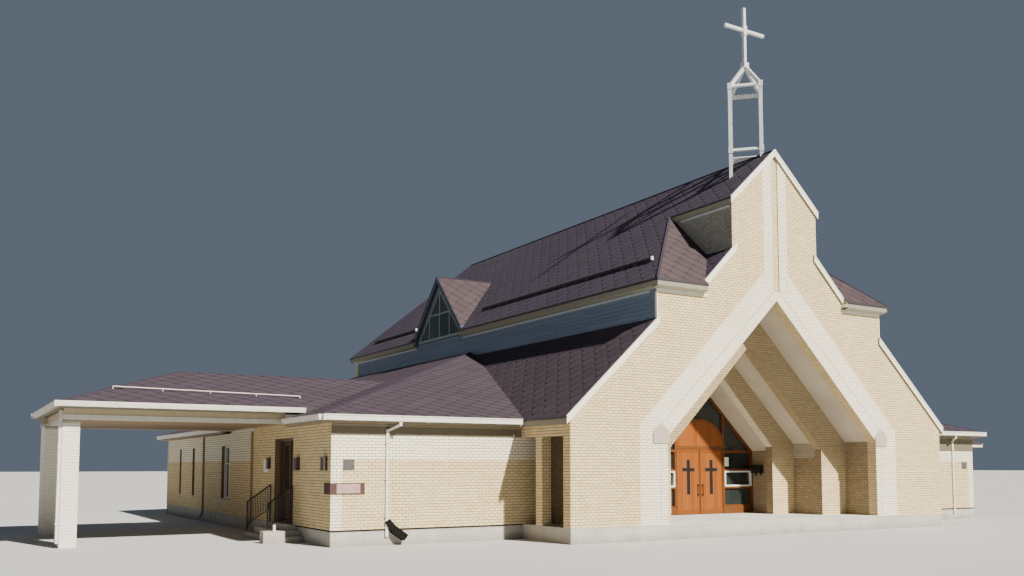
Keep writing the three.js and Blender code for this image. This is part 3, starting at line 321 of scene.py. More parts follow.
FINISH_VALUES = {
    fired_brick: {
        "tan_brick": ((0.64, 0.495, 0.262), (0.7, 0.55, 0.3), (0.76, 0.605, 0.34)),
        # Painted shade: a darker copy of the tan brick for the portal's inward walls, which stand in shade.
        "portal_brick": ((0.27, 0.21, 0.125), (0.31, 0.245, 0.15), (0.35, 0.28, 0.175)),
        # Painted shade: the tan brick again, darkening with height above the spring, where the rib fronts
        # stay in shade.
        "rib_brick": ((0.64, 0.495, 0.262), (0.7, 0.55, 0.3), (0.76, 0.605, 0.34), (1.7, 2.8, 0.56)),
        # Painted shade: a darker copy of the pale brick for the middle bay's upper band, which stands in
        # shade.
        "portal_pale_brick": ((0.42, 0.38, 0.29), (0.46, 0.42, 0.32), (0.5, 0.46, 0.36)),
        # Painted shade: a much darker brick for the inner walls of the corner recesses.
        "recess_brick": ((0.13, 0.1, 0.058), (0.16, 0.12, 0.07), (0.19, 0.145, 0.085)),
        # Painted shade: a grey brick for the cheeks, the look of the tan brick return in shade.
        "cheek_brick": ((0.2, 0.205, 0.185), (0.24, 0.245, 0.22), (0.28, 0.285, 0.26)),
        "pale_brick": ((0.8, 0.735, 0.565), (0.84, 0.775, 0.605), (0.88, 0.815, 0.645)),
        "pier_brick": ((0.74, 0.71, 0.62), (0.77, 0.74, 0.65), (0.8, 0.77, 0.69)),
    },
    mortar: {
        "tan_mortar": ((0.21, 0.155, 0.09),),
        "pale_mortar": ((0.3, 0.26, 0.195),),
        "pier_mortar": ((0.7, 0.67, 0.58),),
    },
    shingle_metal: {
        # Painted light: lit and shaded copies of the upper roofs' shingles; this bluer, darker one goes on
        # planes that do not face the front, the warmer, lighter one below on front planes.
        "shingles": ((0.043, 0.036, 0.053),),
        "wing_shingles": ((0.047, 0.036, 0.046),),
        "faded_shingles": ((0.056, 0.04, 0.043),),
    },
    roof_edge: {
        # Painted shade: the boarding's beige is darkened so that upright fascias in sun look as dark as eave
        # boarding in shade.
        "roof_edge": ((0.19, 0.175, 0.125), (0.25, 0.23, 0.17)),
        "dormer_edge": ((0.05, 0.075, 0.11), (0.065, 0.095, 0.135)),
    },
    painted: {
        # Painted shadow: the band joint's sealant, darkened to stand for the shadow of a step along the
        # joint.
        "joint_seal": ((0.26, 0.23, 0.18), 0.8),
        "cream_trim": ((0.8, 0.76, 0.64),),
        "white_gutter": ((0.67, 0.635, 0.56), 0.42, 0.16),
        "beige_board": ((0.5, 0.41, 0.26), 0.6),
        "cove_board": ((0.36, 0.345, 0.265), 0.6),
        # Painted shadow: the dark olive of the wing friezes stands for the eave's shadow on them.
        "olive_board": ((0.13, 0.112, 0.065), 0.6),
        "olive_lath": ((0.25, 0.225, 0.15), 0.6),
        "soffit": ((0.36, 0.25, 0.14), 0.7),
        "soffit_board": ((0.3, 0.2, 0.11), 0.7),
        "siding_trim": ((0.05, 0.07, 0.1), 0.55),
        "pale_siding_trim": ((0.44, 0.47, 0.48), 0.55),
        "dark_boards": ((0.055, 0.08, 0.12), 0.55),
        "white_frame": ((0.78, 0.76, 0.7), 0.45),
        "brown_door": ((0.1, 0.048, 0.022), 0.5),
        "dark_inlay": ((0.022, 0.011, 0.006), 0.6, 0.12, 0.1),
        "black_rubber": ((0.008, 0.008, 0.007), 0.8, 0.12, 0.05),
    },
    siding_boards: {"blue_siding": ((0.14, 0.19, 0.27),)},
    varnished_timber: {
        "varnished_timber": ((0.2, 0.058, 0.009), (0.235, 0.071, 0.012), (0.275, 0.086, 0.016)),
        # Painted shade: a darker copy of the door timber for the entrance frame and glazing beads, whose
        # members stand mostly in the portal's shadow.
        "frame_timber": ((0.14, 0.05, 0.013), (0.15, 0.053, 0.014), (0.16, 0.056, 0.015)),
    },
    rendered_ceiling: {"rendered_ceiling": ((0.46, 0.4, 0.31), (0.56, 0.495, 0.39))},
    cast_concrete: {
        "concrete": ((0.34, 0.32, 0.28), (0.5, 0.47, 0.42)),
        "floor_concrete": ((0.46, 0.44, 0.4), (0.6, 0.58, 0.53)),
    },
    cut_stone: {
        "limestone": ((0.36, 0.285, 0.225), (0.46, 0.38, 0.31)),
        "red_stone": ((0.042, 0.015, 0.011), (0.072, 0.028, 0.021)),
        "pink_stone": ((0.3, 0.19, 0.165), (0.4, 0.27, 0.24)),
        "slate": ((0.03, 0.03, 0.026), (0.095, 0.093, 0.083), 14),
    },
    coated_metal: {
        "drip_edge": ((0.03, 0.024, 0.026), 0.5),
        "dark_frame": ((0.075, 0.07, 0.06), 0.45),
        "green_frame": ((0.25, 0.3, 0.27), 0.5),
        "brown_metal": ((0.05, 0.032, 0.022), 0.5),
        "black_metal": ((0.02, 0.018, 0.017), 0.45, 0.4),
        "galvanised": ((0.62, 0.64, 0.66), 0.38, 0.25),
    },
    window_glass: {"window_glass": ((0.012, 0.016, 0.015), (0.03, 0.038, 0.036))},
    studio_floor: {"studio_floor": ((0.4, 0.4, 0.39), (0.43, 0.43, 0.42))},
}
FINISHES = {name: maker(name, *values)
            for maker, rows in FINISH_VALUES.items() for name, values in rows.items()}


# Meshes

class Form:
    """Collects closed solids drawn in the church's plan and makes one finished piece of them.
    Where a call takes a sign, x is measured from the middle of the church towards that side."""

    def __init__(self):
        self.mesh = bmesh.new()

    def hull(self, low, high):
        """Closed solid between two like rings of points."""
        rings = [[self.mesh.verts.new(Vector(p)) for p in ring] for ring in (low, high)]
        count = len(rings[0])
        self.mesh.faces.new(list(reversed(rings[0])))
        self.mesh.faces.new(rings[1])
        for i in range(count):
            j = (i + 1) % count
            self.mesh.faces.new((rings[0][i], rings[0][j], rings[1][j], rings[1][i]))

    def box(self, x, y, z, sign=1):
        (x0, x1), (y0, y1), (z0, z1) = sorted(sign * a for a in x), sorted(y), sorted(z)
        ring = [(x0, y0), (x1, y0), (x1, y1), (x0, y1)]
        self.hull([(a, b, z0) for a, b in ring], [(a, b, z1) for a, b in ring])

    def along_y(self, outline, y, sign=1):
        """Outline in x and z, carried from one y to another."""
        self.hull(*([(sign * a, at, b) for a, b in outline] for at in (max(y), min(y))))

    def along_x(self, outline, x, sign=1):
        """Outline in y and z, carried from one x to another."""
        self.hull(*([(at, a, b) for a, b in outline] for at in sorted(sign * a for a in x)))

    def bar(self, start, end, width, depth, up=(0, 0, 1)):
        """Rectangular bar between two points: width across, depth towards up."""
        start, end = Vector(start), Vector(end)
        along = (end - start).normalized()
        across = along.cross(Vector(up)).normalized()
        raised = across.cross(along)
        corners = [(a * width / 2, b * depth / 2) for a, b in ((-1, -1), (1, -1), (1, 1), (-1, 1))]
        self.hull(*([p + across * a + raised * b for a, b in corners] for p in (start, end)))

    def rod(self, start, end, radius, sides=10):
        """Round bar between two points."""
        start, end = Vector(start), Vector(end)
        along = (end - start).normalized()
        across = along.orthogonal().normalized()
        raised = along.cross(across)
        turns = [2 * math.pi * i / sides for i in range(sides)]
        ring = [across * (radius * math.cos(t)) + raised * (radius * math.sin(t)) for t in turns]
        self.hull([start + r for r in ring], [end + r for r in ring])

    def frame_facing_front(self, x, y, z, width):
        """Four members around an opening that faces the front, lying inside its outline."""
        for span, rise in members(x, z, width):
            self.box(span, y, rise)

    def frame_facing_side(self, x, y, z, width, sign):
        """Four members around an opening that faces a side."""
        for span, rise in members(y, z, width):
            self.box(x, span, rise, sign)

    def piece(self, name, finish, slot, body="church", bevel=0.0):
        """Moves the solids to the model's origin and makes them one object riding on a body."""
        bmesh.ops.recalc_face_normals(self.mesh, faces=self.mesh.faces)
        mesh = bpy.data.meshes.new(name)
        self.mesh.to_mesh(mesh)
        self.mesh.free()
        mesh.transform(TO_MODEL)
        mesh.materials.append(FINISHES[finish])
        made = placed(name, mesh)
        if bevel:
            edge = made.modifiers.new("eased_edges", "BEVEL")
            edge.width = bevel
            edge.segments = 2
            edge.limit_method = "ANGLE"
        settled(made, body)


def members(across, z, width):
    """Spans across and upward of a frame's two uprights and two rails."""
    (a0, a1), (z0, z1) = sorted(across), sorted(z)
    clear = (a0 + width, a1 - width)
    return [((a0, clear[0]), (z0, z1)), ((clear[1], a1), (z0, z1)),
            (clear, (z0, z0 + width)), (clear, (z1 - width, z1))]


def forms(count):
    return [Form() for _ in range(count)]


def placed(name, content):
    """An object of the given data, added to the scene."""
    made = bpy.data.objects.new(name, content)
    bpy.context.collection.objects.link(made)
    return made


def settled(made, body):
    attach(made, body)


# Laid work: bricks, diamond shingles and boards placed in courses over a panel by Geometry Nodes

class Nodes:
    """Short calls for building a Geometry Nodes tree."""

    def __init__(self, name, inputs):
        self.group = bpy.data.node_groups.new(name, "GeometryNodeTree")
        interface = self.group.interface
        interface.new_socket("Geometry", in_out="INPUT", socket_type="NodeSocketGeometry")
        self.identifiers = {}
        for label, kind, default in inputs:
            socket = interface.new_socket(label, in_out="INPUT", socket_type=kind)
            if default is not None:
                socket.default_value = default
            self.identifiers[label] = socket.identifier
        interface.new_socket("Geometry", in_out="OUTPUT", socket_type="NodeSocketGeometry")
        self.entry = self.group.nodes.new("NodeGroupInput").outputs
        self.exit = self.group.nodes.new("NodeGroupOutput").inputs

    def node(self, kind, links=None, **settings):
        made = self.group.nodes.new(kind)
        for name, value in settings.items():
            setattr(made, name, value)
        for socket, value in (links or {}).items():
            for source in value if isinstance(value, list) else [value]:
                if isinstance(source, bpy.types.NodeSocket):
                    self.group.links.new(source, made.inputs[socket])
                else:
                    made.inputs[socket].default_value = source
        return made.outputs

    def math(self, operation, first, second=0.0):
        return self.node("ShaderNodeMath", {0: first, 1: second}, operation=operation)[0]

    def vector(self, x=0.0, y=0.0, z=0.0):
        return self.node("ShaderNodeCombineXYZ", {0: x, 1: y, 2: z})[0]

    def split(self, vector):
        return self.node("ShaderNodeSeparateXYZ", {0: vector})

    def place(self):
        return self.split(self.node("GeometryNodeInputPosition")["Position"])


LAID_INPUTS = [
    ("Tile Length", "NodeSocketFloat", BRICK),
    ("Row Height", "NodeSocketFloat", COURSE),
    ("Row Shift", "NodeSocketFloat", 0.5),
    ("Joint", "NodeSocketFloat", MORTAR),
    ("Thickness", "NodeSocketFloat", 0.02),
    ("Proud", "NodeSocketFloat", 0.008),
    ("Lip", "NodeSocketFloat", 0.0),
    ("Clip", "NodeSocketFloat", 0.03),
    ("Seed", "NodeSocketInt", 1),
    ("Material", "NodeSocketMaterial", None),
]
FIRST_SEED = 11


def laid_points(t, panel, length, row):
    """One point for each tile, in rows that cover the panel's bounds and shift in turn."""
    bounds = t.node("GeometryNodeBoundBox", {"Geometry": panel})
    low, high = t.split(bounds["Min"]), t.split(bounds["Max"])

    def cells(axis, size):
        """The first cell before the panel along an axis, and a count that reaches past its end."""
        first = t.math("SUBTRACT", t.math("FLOOR", t.math("DIVIDE", low[axis], size)), 1.0)
        covered = t.math("DIVIDE", t.math("SUBTRACT", high[axis], low[axis]), size)
        return first, t.math("ADD", t.math("CEIL", covered), 3.0)

    first_column, columns = cells("X", length)
    first_row, rows = cells("Y", row)
    index = t.node("GeometryNodeInputIndex")["Index"]
    column = t.math("ADD", t.math("MODULO", index, columns), first_column)
    level = t.math("ADD", t.math("FLOOR", t.math("DIVIDE", t.math("ADD", index, 0.5), columns)), first_row)
    shift = t.math("MULTIPLY", t.math("FLOORED_MODULO", level, 2.0), t.entry["Row Shift"])
    along = t.math("ADD", t.math("ADD", column, 0.5), shift)
    place = t.vector(t.math("MULTIPLY", along, length), t.math("MULTIPLY", t.math("ADD", level, 0.5), row))
    return t.node("GeometryNodePoints", {"Count": t.math("MULTIPLY", columns, rows), "Position": place})[0]


def block_tile(t, length, row):
    """A brick or a board, less its joint."""
    joint = t.entry["Joint"]
    size = t.vector(t.math("SUBTRACT", length, joint), t.math("SUBTRACT", row, joint), t.entry["Thickness"])
    return t.node("GeometryNodeMeshCube", {"Size": size})["Mesh"]


def diamond_tile(t, length, row):
    """A diamond shingle with clipped corners, two rows high."""
    tile = t.node("GeometryNodeMeshCylinder",
                  {"Vertices": 8, "Radius": 1.0, "Depth": t.entry["Thickness"]})["Mesh"]
    turn = (0, 0, math.radians(22.5))
    tile = t.node("GeometryNodeTransform", {"Geometry": tile, "Rotation": turn})["Geometry"]
    here = t.place()
    beside = t.math("GREATER_THAN", t.math("ABSOLUTE", here["X"]), t.math("ABSOLUTE", here["Y"]))
    clip, joint = t.entry["Clip"], t.entry["Joint"]

    def corner(axis, half, is_far):
        """Distance out along one axis: nearly the whole half diagonal, or the clipped corner's half width."""
        far = t.math("SUBTRACT", t.math("SUBTRACT", half, joint), clip)
        out = t.math("ADD", clip, t.math("MULTIPLY", is_far, t.math("SUBTRACT", far, clip)))
        return t.math("MULTIPLY", t.math("SIGN", axis), out)

    clipped = t.vector(corner(here["X"], t.math("MULTIPLY", length, 0.5), beside),
                       corner(here["Y"], row, t.math("SUBTRACT", 1.0, beside)), here["Z"])
    return t.node("GeometryNodeSetPosition", {"Geometry": tile, "Position": clipped})["Geometry"]


def laid_tree(name, make_tile, rows_high):
    """Rows of tiles over the bounds of the panel that comes in, trimmed to the panel's outline."""
    t = Nodes(name, LAID_INPUTS)
    panel = t.entry["Geometry"]
    length, row = t.entry["Tile Length"], t.entry["Row Height"]
    points, tile = laid_points(t, panel, length, row), make_tile(t, length, row)
    here = t.place()
    on_top = t.math("GREATER_THAN", here["Z"], 0.0)
    lower_share = t.math("SUBTRACT", 0.5, t.math("DIVIDE", here["Y"], t.math("MULTIPLY", row, rows_high)))
    lift = t.math("MULTIPLY", t.math("MULTIPLY", lower_share, t.entry["Lip"]), on_top)
    seat = t.math("SUBTRACT", t.entry["Proud"], t.math("MULTIPLY", t.entry["Thickness"], 0.5))
    offset = t.vector(z=t.math("ADD", lift, seat))
    tile = t.node("GeometryNodeSetPosition", {"Geometry": tile, "Offset": offset})["Geometry"]
    laid = t.node("GeometryNodeInstanceOnPoints", {"Points": points, "Instance": tile})["Instances"]
    laid = t.node("GeometryNodeRealizeInstances", {"Geometry": laid})["Geometry"]
    laid = t.node("GeometryNodeMeshBoolean", {"Mesh 2": [laid, panel]}, operation="INTERSECT",
                  solver="MANIFOLD")["Mesh"]
    island = t.node("GeometryNodeInputMeshIsland")["Island Index"]
    shade = t.node("FunctionNodeRandomValue", {"ID": island, "Seed": t.entry["Seed"]}, data_type="FLOAT")[1]
    laid = t.node("GeometryNodeStoreNamedAttribute", {"Geometry": laid, "Name": "tint", "Value": shade},
                  data_type="FLOAT", domain="FACE")["Geometry"]
    laid = t.node("GeometryNodeRealizeInstances", {"Geometry": laid})["Geometry"]
    laid = t.node("GeometryNodeSetMaterial", {"Geometry": laid, "Material": t.entry["Material"]})["Geometry"]
    t.group.links.new(laid, t.exit["Geometry"])
    return t


LAID_BLOCKS = laid_tree("laid_blocks", block_tile, 1.0)
LAID_DIAMONDS = laid_tree("laid_diamonds", diamond_tile, 2.0)


class Panel:
    """One flat face of a model node, turned into its own u and v and given some depth."""

    DEPTH = 0.05

    def __init__(self, faces, normal, origin, rows_along=None):
        self.normal = normal
        if rows_along is not None:
            u = Vector(rows_along).normalized()
            v = normal.cross(u).normalized()
        else:
            rise = Vector((0, 0, 1)) - normal * normal.z
            v = (rise if rise.length >= 1e-3 else Vector((0, 1, 0))).normalized()
            u = v.cross(normal).normalized()
        self.place = Matrix((u, v, normal)).transposed().to_4x4()
        self.place.translation = origin + normal * (faces[0][0] - origin).dot(normal)
        self.faces = faces

    def distance_from_middle(self):
        """How far to the side of the church's middle an upright side panel stands."""
        return abs(self.faces[0][0].x)

    def prism(self):
        """The face's triangles as a closed solid in panel coordinates, reaching to both sides of it."""
        into = self.place.inverted()
        mesh = bmesh.new()
        for triangle in self.faces:
            mesh.faces.new([mesh.verts.new((into @ p).to_2d().to_3d()) for p in triangle])
        bmesh.ops.remove_doubles(mesh, verts=mesh.verts, dist=1e-4)
        bmesh.ops.translate(mesh, verts=mesh.verts, vec=(0, 0, -self.DEPTH))
        shade_rise = bmesh.ops.extrude_face_region(mesh, geom=mesh.faces[:])["geom"]
        upper = [part for part in shade_rise if isinstance(part, bmesh.types.BMVert)]
        bmesh.ops.translate(mesh, verts=upper, vec=(0, 0, 2 * self.DEPTH))
        bmesh.ops.recalc_face_normals(mesh, faces=mesh.faces)
        made = bpy.data.meshes.new("panel")
        mesh.to_mesh(made)
        mesh.free()
        return made


def node_faces(node, wanted, keep=()):
    """The node's triangles in the church's plan, grouped by plane, for each plane whose normal is wanted.
    Each of keep is (point, direction): what lies behind that plane, against its direction, stays."""
    least_area = 1e-7
    mesh = bmesh.new()
    mesh.from_mesh(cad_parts[node].data)
    bmesh.ops.transform(mesh, matrix=TO_MODEL.inverted(), verts=mesh.verts)
    bmesh.ops.remove_doubles(mesh, verts=mesh.verts, dist=1e-5)
    mesh.normal_update()
    others = [face for face in mesh.faces if face.calc_area() < least_area or not wanted(face.normal)]
    bmesh.ops.delete(mesh, geom=others, context="FACES")
    for point, direction in keep:
        bmesh.ops.bisect_plane(mesh, geom=mesh.verts[:] + mesh.edges[:] + mesh.faces[:], dist=1e-6,
                               plane_co=point, plane_no=direction, clear_outer=True)
    bmesh.ops.triangulate(mesh, faces=mesh.faces)
    planes = {}
    for face in mesh.faces:
        if face.calc_area() >= least_area:
            n = face.normal
            key = (round(n.x, 2), round(n.y, 2), round(n.z, 2), round(n.dot(face.verts[0].co), 2))
            planes.setdefault(key, (n.copy(), []))[1].append([v.co.copy() for v in face.verts])
    mesh.free()
    return list(planes.values())


def panels_of(node, wanted, origin=(0, 0, BASE_TOP), keep=(), rows_along=None):
    return [Panel(faces, normal, Vector(origin), rows_along)
            for normal, faces in node_faces(node, wanted, keep)]


def laid_over(tree, panels, finish, **sizes):
    """Fills each panel with tiles and returns plain objects, one for each panel."""
    made = []
    sizes = {name.replace("_", " "): size for name, size in sizes.items()}
    for number, panel in enumerate(panels):
        holder = placed("panel", panel.prism())
        modifier = holder.modifiers.new("laid", "NODES")
        modifier.node_group = tree.group
        for label, value in {"Material": FINISHES[finish], "Seed": FIRST_SEED + number, **sizes}.items():
            modifier[tree.identifiers[label]] = value
        evaluated = holder.evaluated_get(bpy.context.evaluated_depsgraph_get())
        mesh = bpy.data.meshes.new_from_object(evaluated)
        mesh.transform(TO_MODEL @ panel.place)
        bpy.data.objects.remove(holder)
        if len(mesh.polygons):
            made.append(placed("laid", mesh))
    return made


def joined(objects, name, body="church"):
    """Joins laid panels into one named piece."""
    with bpy.context.temp_override(active_object=objects[0], selected_editable_objects=objects):
        bpy.ops.object.join()
    made = objects[0]
    made.name = name
    made.data.name = name
    settled(made, body)


def lay_bricks(name, slot, *runs):
    """One piece of brickwork from runs, each of panels and their finish."""
    joined([part for panels, finish in runs for part in laid_over(LAID_BLOCKS, panels, finish)], name)


def facing(*direction):
    """Test for normals that point the given way."""
    way = Vector(direction).normalized()
    return lambda normal: normal.dot(way) > 0.995


def upright(normal):
    return abs(normal.z) < 0.05


OUTWARD = {"front": facing(0, -1, 0), "rear": facing(0, 1, 0),
           "left": facing(-1, 0, 0), "right": facing(1, 0, 0)}
AXES = {"x": Vector((1, 0, 0)), "y": Vector((0, 1, 0)), "z": Vector((0, 0, 1))}


def up_to(axis, limit, sign=1):
    """Cutting plane that keeps what lies before the limit; the sign turns the axis round."""
    return AXES[axis] * (sign * limit), AXES[axis] * sign


def past(axis, limit, sign=1):
    """Cutting plane that keeps what lies past the limit."""
    return AXES[axis] * (sign * limit), AXES[axis] * -sign


def lay_facade():
    """Tan walls in level courses. The pale bands follow the portal, rows square to the slope,
    in two runs with a sealed joint between them, whose dark strip also stands for the shadow of a step along
    it."""
    front, strip_span_y, half_joint = OUTWARD["front"], (-0.003, 0.002), 0.01
    bend, foot, top = Vector((5.2, 0, 3.71)), Vector((4.8, 0, 3.3)), Vector((0.29, 0, 7.5))
    slope, across = Vector((-1, 0, 0.98)).normalized(), Vector((0.98, 0, 1)).normalized()
    run = (top - foot).normalized()
    square = Vector((run.z, 0, -run.x))
    seal_shadow_strip = Form()
    for side, sign in SIDES.items():
        mirror = Vector((sign, 1, 1))
        outer = panels_of(f"facade_wall_{side}", OUTWARD[side])
        walls = panels_of(f"facade_wall_{side}", front)
        walls += [panel for panel in outer if panel.distance_from_middle() > LEDGE_X + 0.1]
        lay_bricks(f"facade_bricks_{side}", "tan_brick", (walls, "tan_brick"))
        node = f"portal_band_{side}"
        bricks = []
        for turn in (1, -1):
            raked = ((foot + square * half_joint * turn) * mirror, -square * turn * mirror)
            straight = (Vector((foot.x + half_joint * turn, 0, 0)) * mirror, Vector((-turn, 0, 0)) * mirror)
            above_bend, below_bend = (bend * mirror, -slope * mirror), (bend * mirror, slope * mirror)
            bricks += panels_of(node, front, keep=[above_bend, raked], rows_along=across * mirror * sign)
            bricks += panels_of(node, front, keep=[below_bend, straight])
        lay_bricks(f"band_bricks_{side}", "pale_brick", (bricks, "pale_brick"))
        returns = panels_of(node, lambda normal: normal.x * sign < -0.3)
        lay_bricks(f"arch_return_{side}", "pale_brick", (returns, "tan_brick"))
        # Painted shadow: a grey-brown strip in the joint between the band's two runs.
        width = square * half_joint
        corners = [foot - width, foot + width, top + width, top - width]
        seal_shadow_strip.along_y([(p.x, p.z) for p in corners], strip_span_y, sign)
        seal_shadow_strip.box((foot.x - half_joint, foot.x + half_joint), strip_span_y, (BASE_TOP, foot.z), sign)
    seal_shadow_strip.piece("band_joint", "joint_seal", "pale_brick")
    strip, half, edge = "gable_centre_strip", 0.14, 0.139
    pale = panels_of(strip, front, keep=[up_to("x", -half)]) + panels_of(strip, front, keep=[past("x", half)])
    lay_bricks("strip_bricks", "pale_brick", (pale, "pale_brick"))
    groove = panels_of(strip, front, keep=[up_to("x", edge), past("x", -edge)])
    lay_bricks("groove_bricks", "tan_brick", (groove, "tan_brick"))


def lay_portal():
    """Brick on the portal's stepped walls and on its ribs."""
    front_y, rear_y = MIDDLE_BAY_Y
    front_bay, rear_bay = up_to("y", front_y), past("y", rear_y)
    middle_bay = [past("y", front_y), up_to("y", rear_y)]
    for side, sign in SIDES.items():
        node = f"portal_walls_{side}"
        inward = facing(-sign, 0, 0)
        walls = [panel for keep in ([front_bay], [rear_bay], [*middle_bay, up_to("z", PORTAL_LINE_Z)])
                 for panel in panels_of(node, inward, keep=keep)]

        def underside(normal):
            return normal.x * sign < -0.3 and normal.z < -0.3

        # Painted shade: the inward walls take a darker brick, and the rib fronts and front undersides a brick
        # that darkens with height.
        lay_bricks(f"portal_bricks_{side}", "tan_brick", (walls, "portal_brick"),
                   (panels_of(node, OUTWARD["front"]), "rib_brick"),
                   (panels_of(node, underside, keep=[front_bay]), "rib_brick"))
        # Painted shade: the middle bay's upper band takes a darker pale brick.
        upper = panels_of(node, inward, keep=[*middle_bay, past("z", PORTAL_LINE_Z)])
        lay_bricks(f"rib_bricks_{side}", "pale_brick", (upper, "portal_pale_brick"),
                   (panels_of(node, underside, keep=[rear_bay]), "pale_brick"))


def lay_wings():
    """Tan wing walls with a pale upper part and a pale strip at the front corner."""
    front = OUTWARD["front"]
    upper, lower = past("z", PALE_LINE_Z), up_to("z", PALE_LINE_Z)
    near, far = up_to("y", SIDE_PALE_Y), past("y", SIDE_PALE_Y)
    for side, sign in SIDES.items():
        corner_x = WING_X[side] - PALE_CORNER
        node, outward = f"{side}_wing_front_wall", OUTWARD[side]
        tan = panels_of(node, front, keep=[lower, up_to("x", corner_x, sign)]) + panels_of(node, outward)
        pale = panels_of(node, front, keep=[upper, up_to("x", corner_x, sign)])
        pale += panels_of(node, front, keep=[past("x", corner_x, sign)])
        recess = panels_of(f"{side}_corner_recess", upright)
        outer = [panel for panel in recess
                 if panel.normal.y < -0.9 or panel.distance_from_middle() > FACADE_HALF - 0.02]
        inner = [panel for panel in recess if panel not in outer]
        lay_bricks(f"{side}_wing_front_bricks", "tan_brick", (tan + outer, "tan_brick"))
        # The recesses' inner walls take the darker brick as painted shade.
        lay_bricks(f"{side}_recess_bricks", "tan_brick", (inner, "recess_brick"))
        lay_bricks(f"{side}_wing_pale_bricks", "pale_brick", (pale, "pale_brick"))
        node = f"{side}_wing_side_wall"
        tan = panels_of(node, outward, keep=[near]) + panels_of(node, outward, keep=[far, lower])
        lay_bricks(f"{side}_side_bricks", "tan_brick", (tan, "tan_brick"))
        lay_bricks(f"{side}_side_pale_bricks", "pale_brick",
                   (panels_of(node, outward, keep=[far, upper]), "pale_brick"))
    rear = [panel for way in ("rear", "left", "right") for panel in panels_of("rear_wall", OUTWARD[way])]
    lay_bricks("rear_bricks", "tan_brick", (rear, "tan_brick"))
    piers = panels_of("carport_pier_front", upright) + panels_of("carport_pier_rear", upright)
    lay_bricks("pier_bricks", "pale_brick", (piers, "pier_brick"))


def shoulder_fillet(sign):
    """Triangle of the front hip that runs down onto the smaller gable's slope."""
    foot_z = EAVE_Z + ROOF_SLOPE * (RAKE_Y - EAVE_FRONT_Y)
    top_z = EAVE_Z + ROOF_SLOPE * (WALL_T - EAVE_FRONT_Y)
    inner_x = BAY_WALL_X + (SHOULDER_TOP_Z - top_z) / SHOULDER_SLOPE
    corners = [(SHOULDER_X, RAKE_Y, foot_z), (SHOULDER_X, WALL_T, top_z), (inner_x, WALL_T, top_z)]
    return [Vector((sign * x, y, z)) for x, y, z in corners]


def lay_shingles():
    """Diamond shingles on every roof plane, measured up from that plane's eave."""
    eaves = {
        "main_roof_left": EAVE_Z, "main_roof_right": EAVE_Z, "lower_roof_left": WING_EAVE_Z,
        "lower_roof_right": WING_EAVE_Z, "carport_roof": CARPORT_EAVE_Z, "dormer_left": DORMER_LOW_Z,
        "dormer_right": DORMER_LOW_Z,
    }
    sizes = {"Tile_Length": DIAMOND, "Row_Height": DIAMOND_ROW, "Thickness": 0.014, "Proud": 0.003,
             "Lip": 0.01, "Clip": 0.06}
    for node, eave_z in eaves.items():
        panels = []
        for normal, faces in node_faces(node, lambda n: 0.3 < n.z < 0.99):
            some, run = faces[0][0], normal.to_2d().to_3d()
            origin = some + run * ((some.z - eave_z) * normal.z / run.length_squared)
            origin.z = eave_z
            eave = Vector((-normal.y, normal.x, 0)).normalized()
            origin -= eave * origin.dot(eave)
            panels.append(Panel(faces, normal, origin))
            if node.startswith("main") and normal.y < -0.3:
                sign = -1 if node.endswith("left") else 1
                panels.append(Panel([shoulder_fillet(sign)], normal, origin))
        upper = node.startswith(("main", "dormer"))
        sizes["Joint"] = 0.005 if upper else 0.011
        # Painted light: front planes of the main roof and dormers take the lighter shingle copy, the other
        # planes the darker one.
        painted_sunlit = [panel for panel in panels if upper and panel.normal.y < -0.2]
        others = [panel for panel in panels if panel not in painted_sunlit]
        shingles = laid_over(LAID_DIAMONDS, painted_sunlit, "faded_shingles", **sizes)
        shingles += laid_over(LAID_DIAMONDS, others, "shingles" if upper else "wing_shingles", **sizes)
        joined(shingles, f"{node}_shingles")
    wedges = Form()
    for sign in SIDES.values():
        corners = shoulder_fillet(sign)
        wedges.hull([p - Vector((0, 0, 0.25)) for p in corners], corners)
    wedges.piece("shoulder_fillets", "roof_edge", "shingles")


def lay_siding():
    """Clapboards on the clerestory, and grey brick courses on the cheeks of the front bay; the grey is
    painted shade.
    """
    boards = {"Tile_Length": 3.66, "Row_Height": CLAPBOARD, "Joint": 0.009, "Thickness": 0.02, "Proud": 0.004,
              "Lip": 0.014}
    for side in SIDES:
        edges, cheeks, blue = (panels_of(f"{node}_{side}", OUTWARD[side], origin=(0, 0, 6.0))
                               for node in ("facade_wall", "main_roof", "clerestory_wall"))
        blue += [panel for panel in edges if abs(panel.distance_from_middle() - LEDGE_X) < 0.02]
        grey = [panel for panel in edges + cheeks
                if BAY_WALL_X - 0.12 < panel.distance_from_middle() < BAY_WALL_X + 0.02]
        joined(laid_over(LAID_BLOCKS, blue, "blue_siding", **boards), f"clerestory_boards_{side}")
        # The cheeks' grey brick is painted shade.
        lay_bricks(f"cheek_bricks_{side}", "siding", (grey, "cheek_brick"))


def lay_timber():
    """Upright boards on the door leaves and on the rounded panel above them."""
    boards = {"Tile_Length": 0.13, "Row_Height": 4.0, "Row_Shift": 0.0, "Joint": 0.004, "Thickness": 0.012,
              "Proud": 0.004}
    front, timber = OUTWARD["front"], "varnished_timber"
    for side, sign in SIDES.items():
        leaf = [panel for panel in panels_of(f"door_leaf_{side}", front, origin=(0.005 * sign, 0, 0))
                if abs(panel.faces[0][0].y - DOOR_FACE_Y) < 0.001]
        laid = laid_over(LAID_BLOCKS, leaf, timber, **boards)
        joined(laid, f"leaf_boards_{side}", f"{side}_leaf")
    panel = panels_of("arched_panel", front, origin=(0, 0, 0))
    joined(laid_over(LAID_BLOCKS, panel, timber, **boards), "arch_boards")


# Trim

